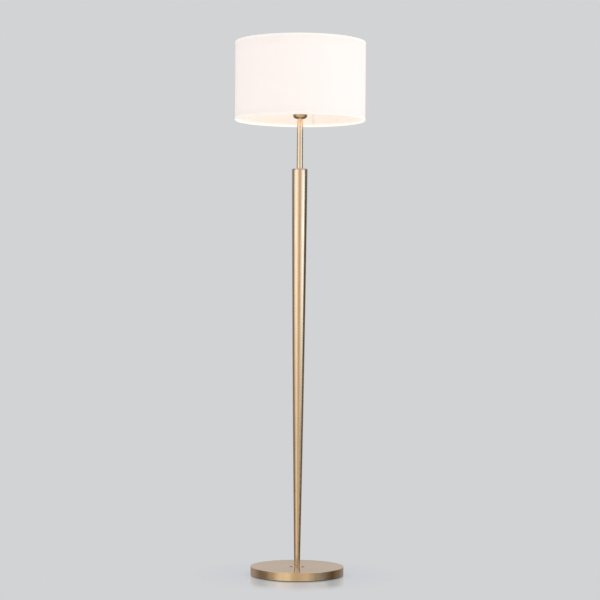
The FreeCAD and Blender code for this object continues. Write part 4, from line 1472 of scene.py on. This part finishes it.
@dataclass
class Studio:
    """Plain pale floor, soft light from all round and the camera."""

    backdrop: Colour = (0.645, 0.651, 0.665)
    floor_radius: float = 60.0
    distance: float = 5.3
    eye_height: float = 0.775
    eye_right: float = 0.0035
    lens: float = 109.4
    sensor: float = 36.0
    far: float = 200.0
    tilt_up: float = 0.26
    roll: float = -0.40
    # (degrees round from the camera's side, red, green, blue) of the room low down
    low_room: Stops = (
        (-180, 0.40, 0.40, 0.42), (-138, 0.36, 0.34, 0.36), (-100, 0.18, 0.155, 0.12),
        (-84, 0.16, 0.13, 0.09), (-66, 0.32, 0.27, 0.18), (-40, 0.78, 0.70, 0.56),
        (-22, 0.84, 0.80, 0.60), (-8, 0.60, 0.53, 0.39), (3, 0.58, 0.48, 0.36),
        (14, 0.62, 0.54, 0.42), (26, 0.60, 0.54, 0.42), (36, 0.42, 0.36, 0.26),
        (48, 0.23, 0.19, 0.11), (60, 0.15, 0.12, 0.06), (74, 0.09, 0.07, 0.04),
        (96, 0.09, 0.07, 0.04), (122, 0.20, 0.17, 0.14), (148, 0.28, 0.30, 0.35),
        (180, 0.40, 0.40, 0.42))
    # the same at eye level
    high_room: Stops = (
        (-180, 0.45, 0.47, 0.50), (-150, 0.36, 0.36, 0.36), (-120, 0.17, 0.16, 0.15),
        (-100, 0.22, 0.22, 0.22), (-86, 0.90, 0.95, 0.98), (-65, 1.70, 1.78, 1.82),
        (-45, 1.70, 1.76, 1.70), (-30, 1.30, 1.24, 1.18), (-15, 0.84, 0.70, 0.56),
        (-2, 0.52, 0.40, 0.30), (12, 0.56, 0.46, 0.40), (27, 1.12, 1.10, 1.10),
        (42, 1.72, 1.90, 2.15), (60, 2.00, 2.40, 2.85), (76, 1.85, 2.20, 2.52),
        (86, 0.55, 0.62, 0.66), (96, 0.08, 0.07, 0.06), (130, 0.04, 0.05, 0.04),
        (155, 0.25, 0.26, 0.28), (180, 0.45, 0.47, 0.50))
    # the same a little higher, which the floor's mirror image of the base shows
    raised_room: Stops = (
        (-180, 0.35, 0.38, 0.45), (-130, 0.50, 0.50, 0.60), (-90, 0.30, 0.40, 0.55),
        (-62, 0.50, 0.62, 0.66), (-41, 1.00, 1.05, 1.10), (-20, 0.95, 0.95, 1.00),
        (0, 0.76, 0.78, 0.92), (20, 0.58, 0.68, 0.78), (40, 0.50, 0.60, 0.60),
        (55, 0.30, 0.36, 0.42), (69, 0.18, 0.24, 0.32), (88, 0.12, 0.16, 0.26),
        (120, 0.30, 0.38, 0.55), (180, 0.35, 0.38, 0.45))
    room_gain: float = 4.0
    behind: Colour = (0.60, 0.615, 0.65)
    gap: Colour = (0.06, 0.055, 0.05)
    under_front: Colour = (0.66, 0.58, 0.49)
    under_back: Colour = (0.14, 0.12, 0.10)
    ceiling: float = 0.80
    key: float = 1.15
    key_from: Colour = (0.766, 0.0, 0.643)
    # where one part of the room fades into the next, as parts of a direction of length 1
    under_fade: Fade = (-0.50, -0.32)
    under_turn: Fade = (-0.3, 0.3)
    low_to_high: Fade = (-0.105, 0.045)
    high_to_raised: Fade = (0.05, 0.13)
    raised_to_gap: Fade = (0.17, 0.24)
    gap_to_ceiling: Fade = (0.25, 0.8)
    back_turn: Fade = (0.5, 0.8)
    back_rise: Fade = (0.085, 0.12)
    key_rim: Fade = (0.88, 0.95)
    floor_sides: int = 128
    shine_ends: Fade = (0.21, 0.32)
    shine_roughness: float = 0.13
    glaze: float = 1.5
    # painted contact shadow on the floor: how far it reaches and how dark it gets
    contact_reach: float = 0.06
    contact_shade: float = 0.62

    def light(self) -> None:
        """A room of soft panels, whose colour depends on the direction seen.

        Round the room it runs along three bands, low, high and raised, which fade into each
        other by height. Below them is the floor's glow, above them a dim gap and then an even
        ceiling, and the wall behind is even. A round key light stands high on the right; it
        lights dull surfaces only. The camera sees the plain backdrop instead."""
        world = bpy.data.worlds.new("studio")
        bpy.context.scene.world = world
        recipe = Recipe(world, "World")
        x, y, z = recipe.split(recipe.node("TexCoord", {}, "Generated"))
        turn = recipe.math("ARCTAN2", x, recipe.times(y, -1.0))
        turn = recipe.span(turn, -math.pi, math.pi)
        low, high, raised = (self.ramp(recipe, turn, stops)
                             for stops in (self.low_room, self.high_room, self.raised_room))
        part = 1.0 / self.room_gain
        front, rear, gap, behind = (shade_of(colour, part) for colour in (
            self.under_front, self.under_back, self.gap, self.behind))
        room = recipe.mix(recipe.span(z, *self.low_to_high), low, high)
        under = recipe.mix(recipe.span(y, *self.under_turn), front, rear)
        room = recipe.mix(recipe.span(z, *self.under_fade, 1.0, 0.0), room, under)
        back = recipe.times(recipe.span(y, *self.back_turn), recipe.span(z, *self.back_rise))
        room = recipe.mix(recipe.span(z, *self.high_to_raised), room, raised)
        room = recipe.mix(recipe.span(z, *self.raised_to_gap), room, gap)
        room = recipe.mix(back, room, behind)
        ceiling = (self.ceiling * part,) * 3
        room = recipe.mix(recipe.span(z, *self.gap_to_ceiling), room, ceiling)
        toward = recipe.node("VectorMath", {0: recipe.joint(x, y, z), 1: self.key_from}, "Value",
                             operation="DOT_PRODUCT")
        glossy = recipe.node("LightPath", {}, "Is Glossy Ray")
        matte = recipe.plus(1.0, recipe.times(glossy, -1.0))
        key = recipe.times(recipe.span(toward, *self.key_rim, 0.0, self.key), matte)
        panels = recipe.node("Background", {"Color": room, "Strength": self.room_gain})
        lamp = recipe.node("Background", {"Color": (1.0, 1.0, 1.0), "Strength": key})
        lit = recipe.node("AddShader", {0: panels, 1: lamp})
        plain = recipe.node("Background", {"Color": self.backdrop, "Strength": 1.0})
        seen = recipe.node("LightPath", {}, "Is Camera Ray")
        view = recipe.node("MixShader", {0: seen, 1: lit, 2: plain})
        recipe.feed(recipe.output.inputs[0], view)

    def ramp(self, recipe: Recipe, turn: Socket, stops: Sequence[Sequence[float]]) -> Socket:
        """A smooth run of a band's colours by direction, scaled down by the room's gain.

        Args:
            recipe: the world's node tree.
            turn: the direction round, from 0 to 1.
            stops: the band's colours.

        Returns:
            The band's colour in that direction.
        """
        node = recipe.nodes.new("ShaderNodeValToRGB")
        node.color_ramp.interpolation = "EASE"
        while len(node.color_ramp.elements) < len(stops):
            node.color_ramp.elements.new(0.5)
        for made, (degrees, *colour) in zip(node.color_ramp.elements, stops):
            made.position = degrees / 360 + 0.5
            made.color = (*shade_of(colour, 1.0 / self.room_gain), 1.0)
        recipe.feed(node.inputs[0], turn)
        return node.outputs[0]

    def floor(self) -> None:
        """A wide disc of the backdrop's tone with a satin shine round the lamp's foot, and a
        painted contact shadow: its glow is darkened where ambient occlusion finds the lamp close
        by.
        """
        t = np.arange(self.floor_sides) / self.floor_sides * TURN
        points = np.stack([np.cos(t), np.sin(t), 0 * t], -1) * self.floor_radius
        mesh = bpy.data.meshes.new("studio_floor")
        mesh.from_pydata(points.tolist(), [], [list(range(self.floor_sides))])
        material = bpy.data.materials.new("pale_floor")
        recipe = Recipe(material, "Material")
        radius, _, _, _ = recipe.around()
        grain = recipe.noise(recipe.place(), 220.0, 3.0)
        near = recipe.span(radius, *self.shine_ends, 1.0, 0.0)
        fresnel = recipe.node("Fresnel", {"IOR": self.glaze})
        shine = recipe.node("BsdfGlossy", {
            "Color": (1.0, 1.0, 1.0), "Roughness": self.shine_roughness,
            "Normal": recipe.bump(grain, 0.02, 0.0001)})
        # painted contact shadow: the floor's glow darkened by ambient occlusion near the base
        open_sky = recipe.node("AmbientOcclusion", {"Distance": self.contact_reach}, "AO")
        shaded = recipe.span(open_sky, 0.0, 1.0, self.contact_shade, 1.0)
        plain = recipe.node("Emission", {"Color": self.backdrop, "Strength": shaded})
        mixed = recipe.node("MixShader", {0: recipe.times(near, fresnel), 1: plain, 2: shine})
        recipe.feed(recipe.output.inputs[0], mixed)
        mesh.materials.append(material)
        floor = bpy.data.objects.new("studio_floor", mesh)
        bpy.context.scene.collection.objects.link(floor)
        floor.visible_glossy = False
        floor.visible_shadow = False

    def camera(self) -> None:
        """A long lens at table height, level but for a hair."""
        data = bpy.data.cameras.new("studio_camera")
        data.lens, data.sensor_width, data.clip_end = self.lens, self.sensor, self.far
        camera = bpy.data.objects.new("studio_camera", data)
        camera.location = (self.eye_right, -self.distance, self.eye_height)
        camera.rotation_euler = (math.radians(90 + self.tilt_up), math.radians(self.roll), 0.0)
        bpy.context.scene.collection.objects.link(camera)
        bpy.context.scene.camera = camera

    def build(self) -> None:
        """Set up the studio."""
        self.camera()
        self.light()
        self.floor()
        bpy.context.scene.view_settings.view_transform = "Standard"


def main() -> None:
    """Build the lamp's sub-assemblies from the floor up, then the studio."""
    dress_frame_nodes()
    for assembly in (Base(), Column(), Stem(), Lampholder(), Bulb(), Shade(), Studio()):
        log.info("building %s", type(assembly).__name__)
        assembly.build()


if __name__ == "__main__":
    main()
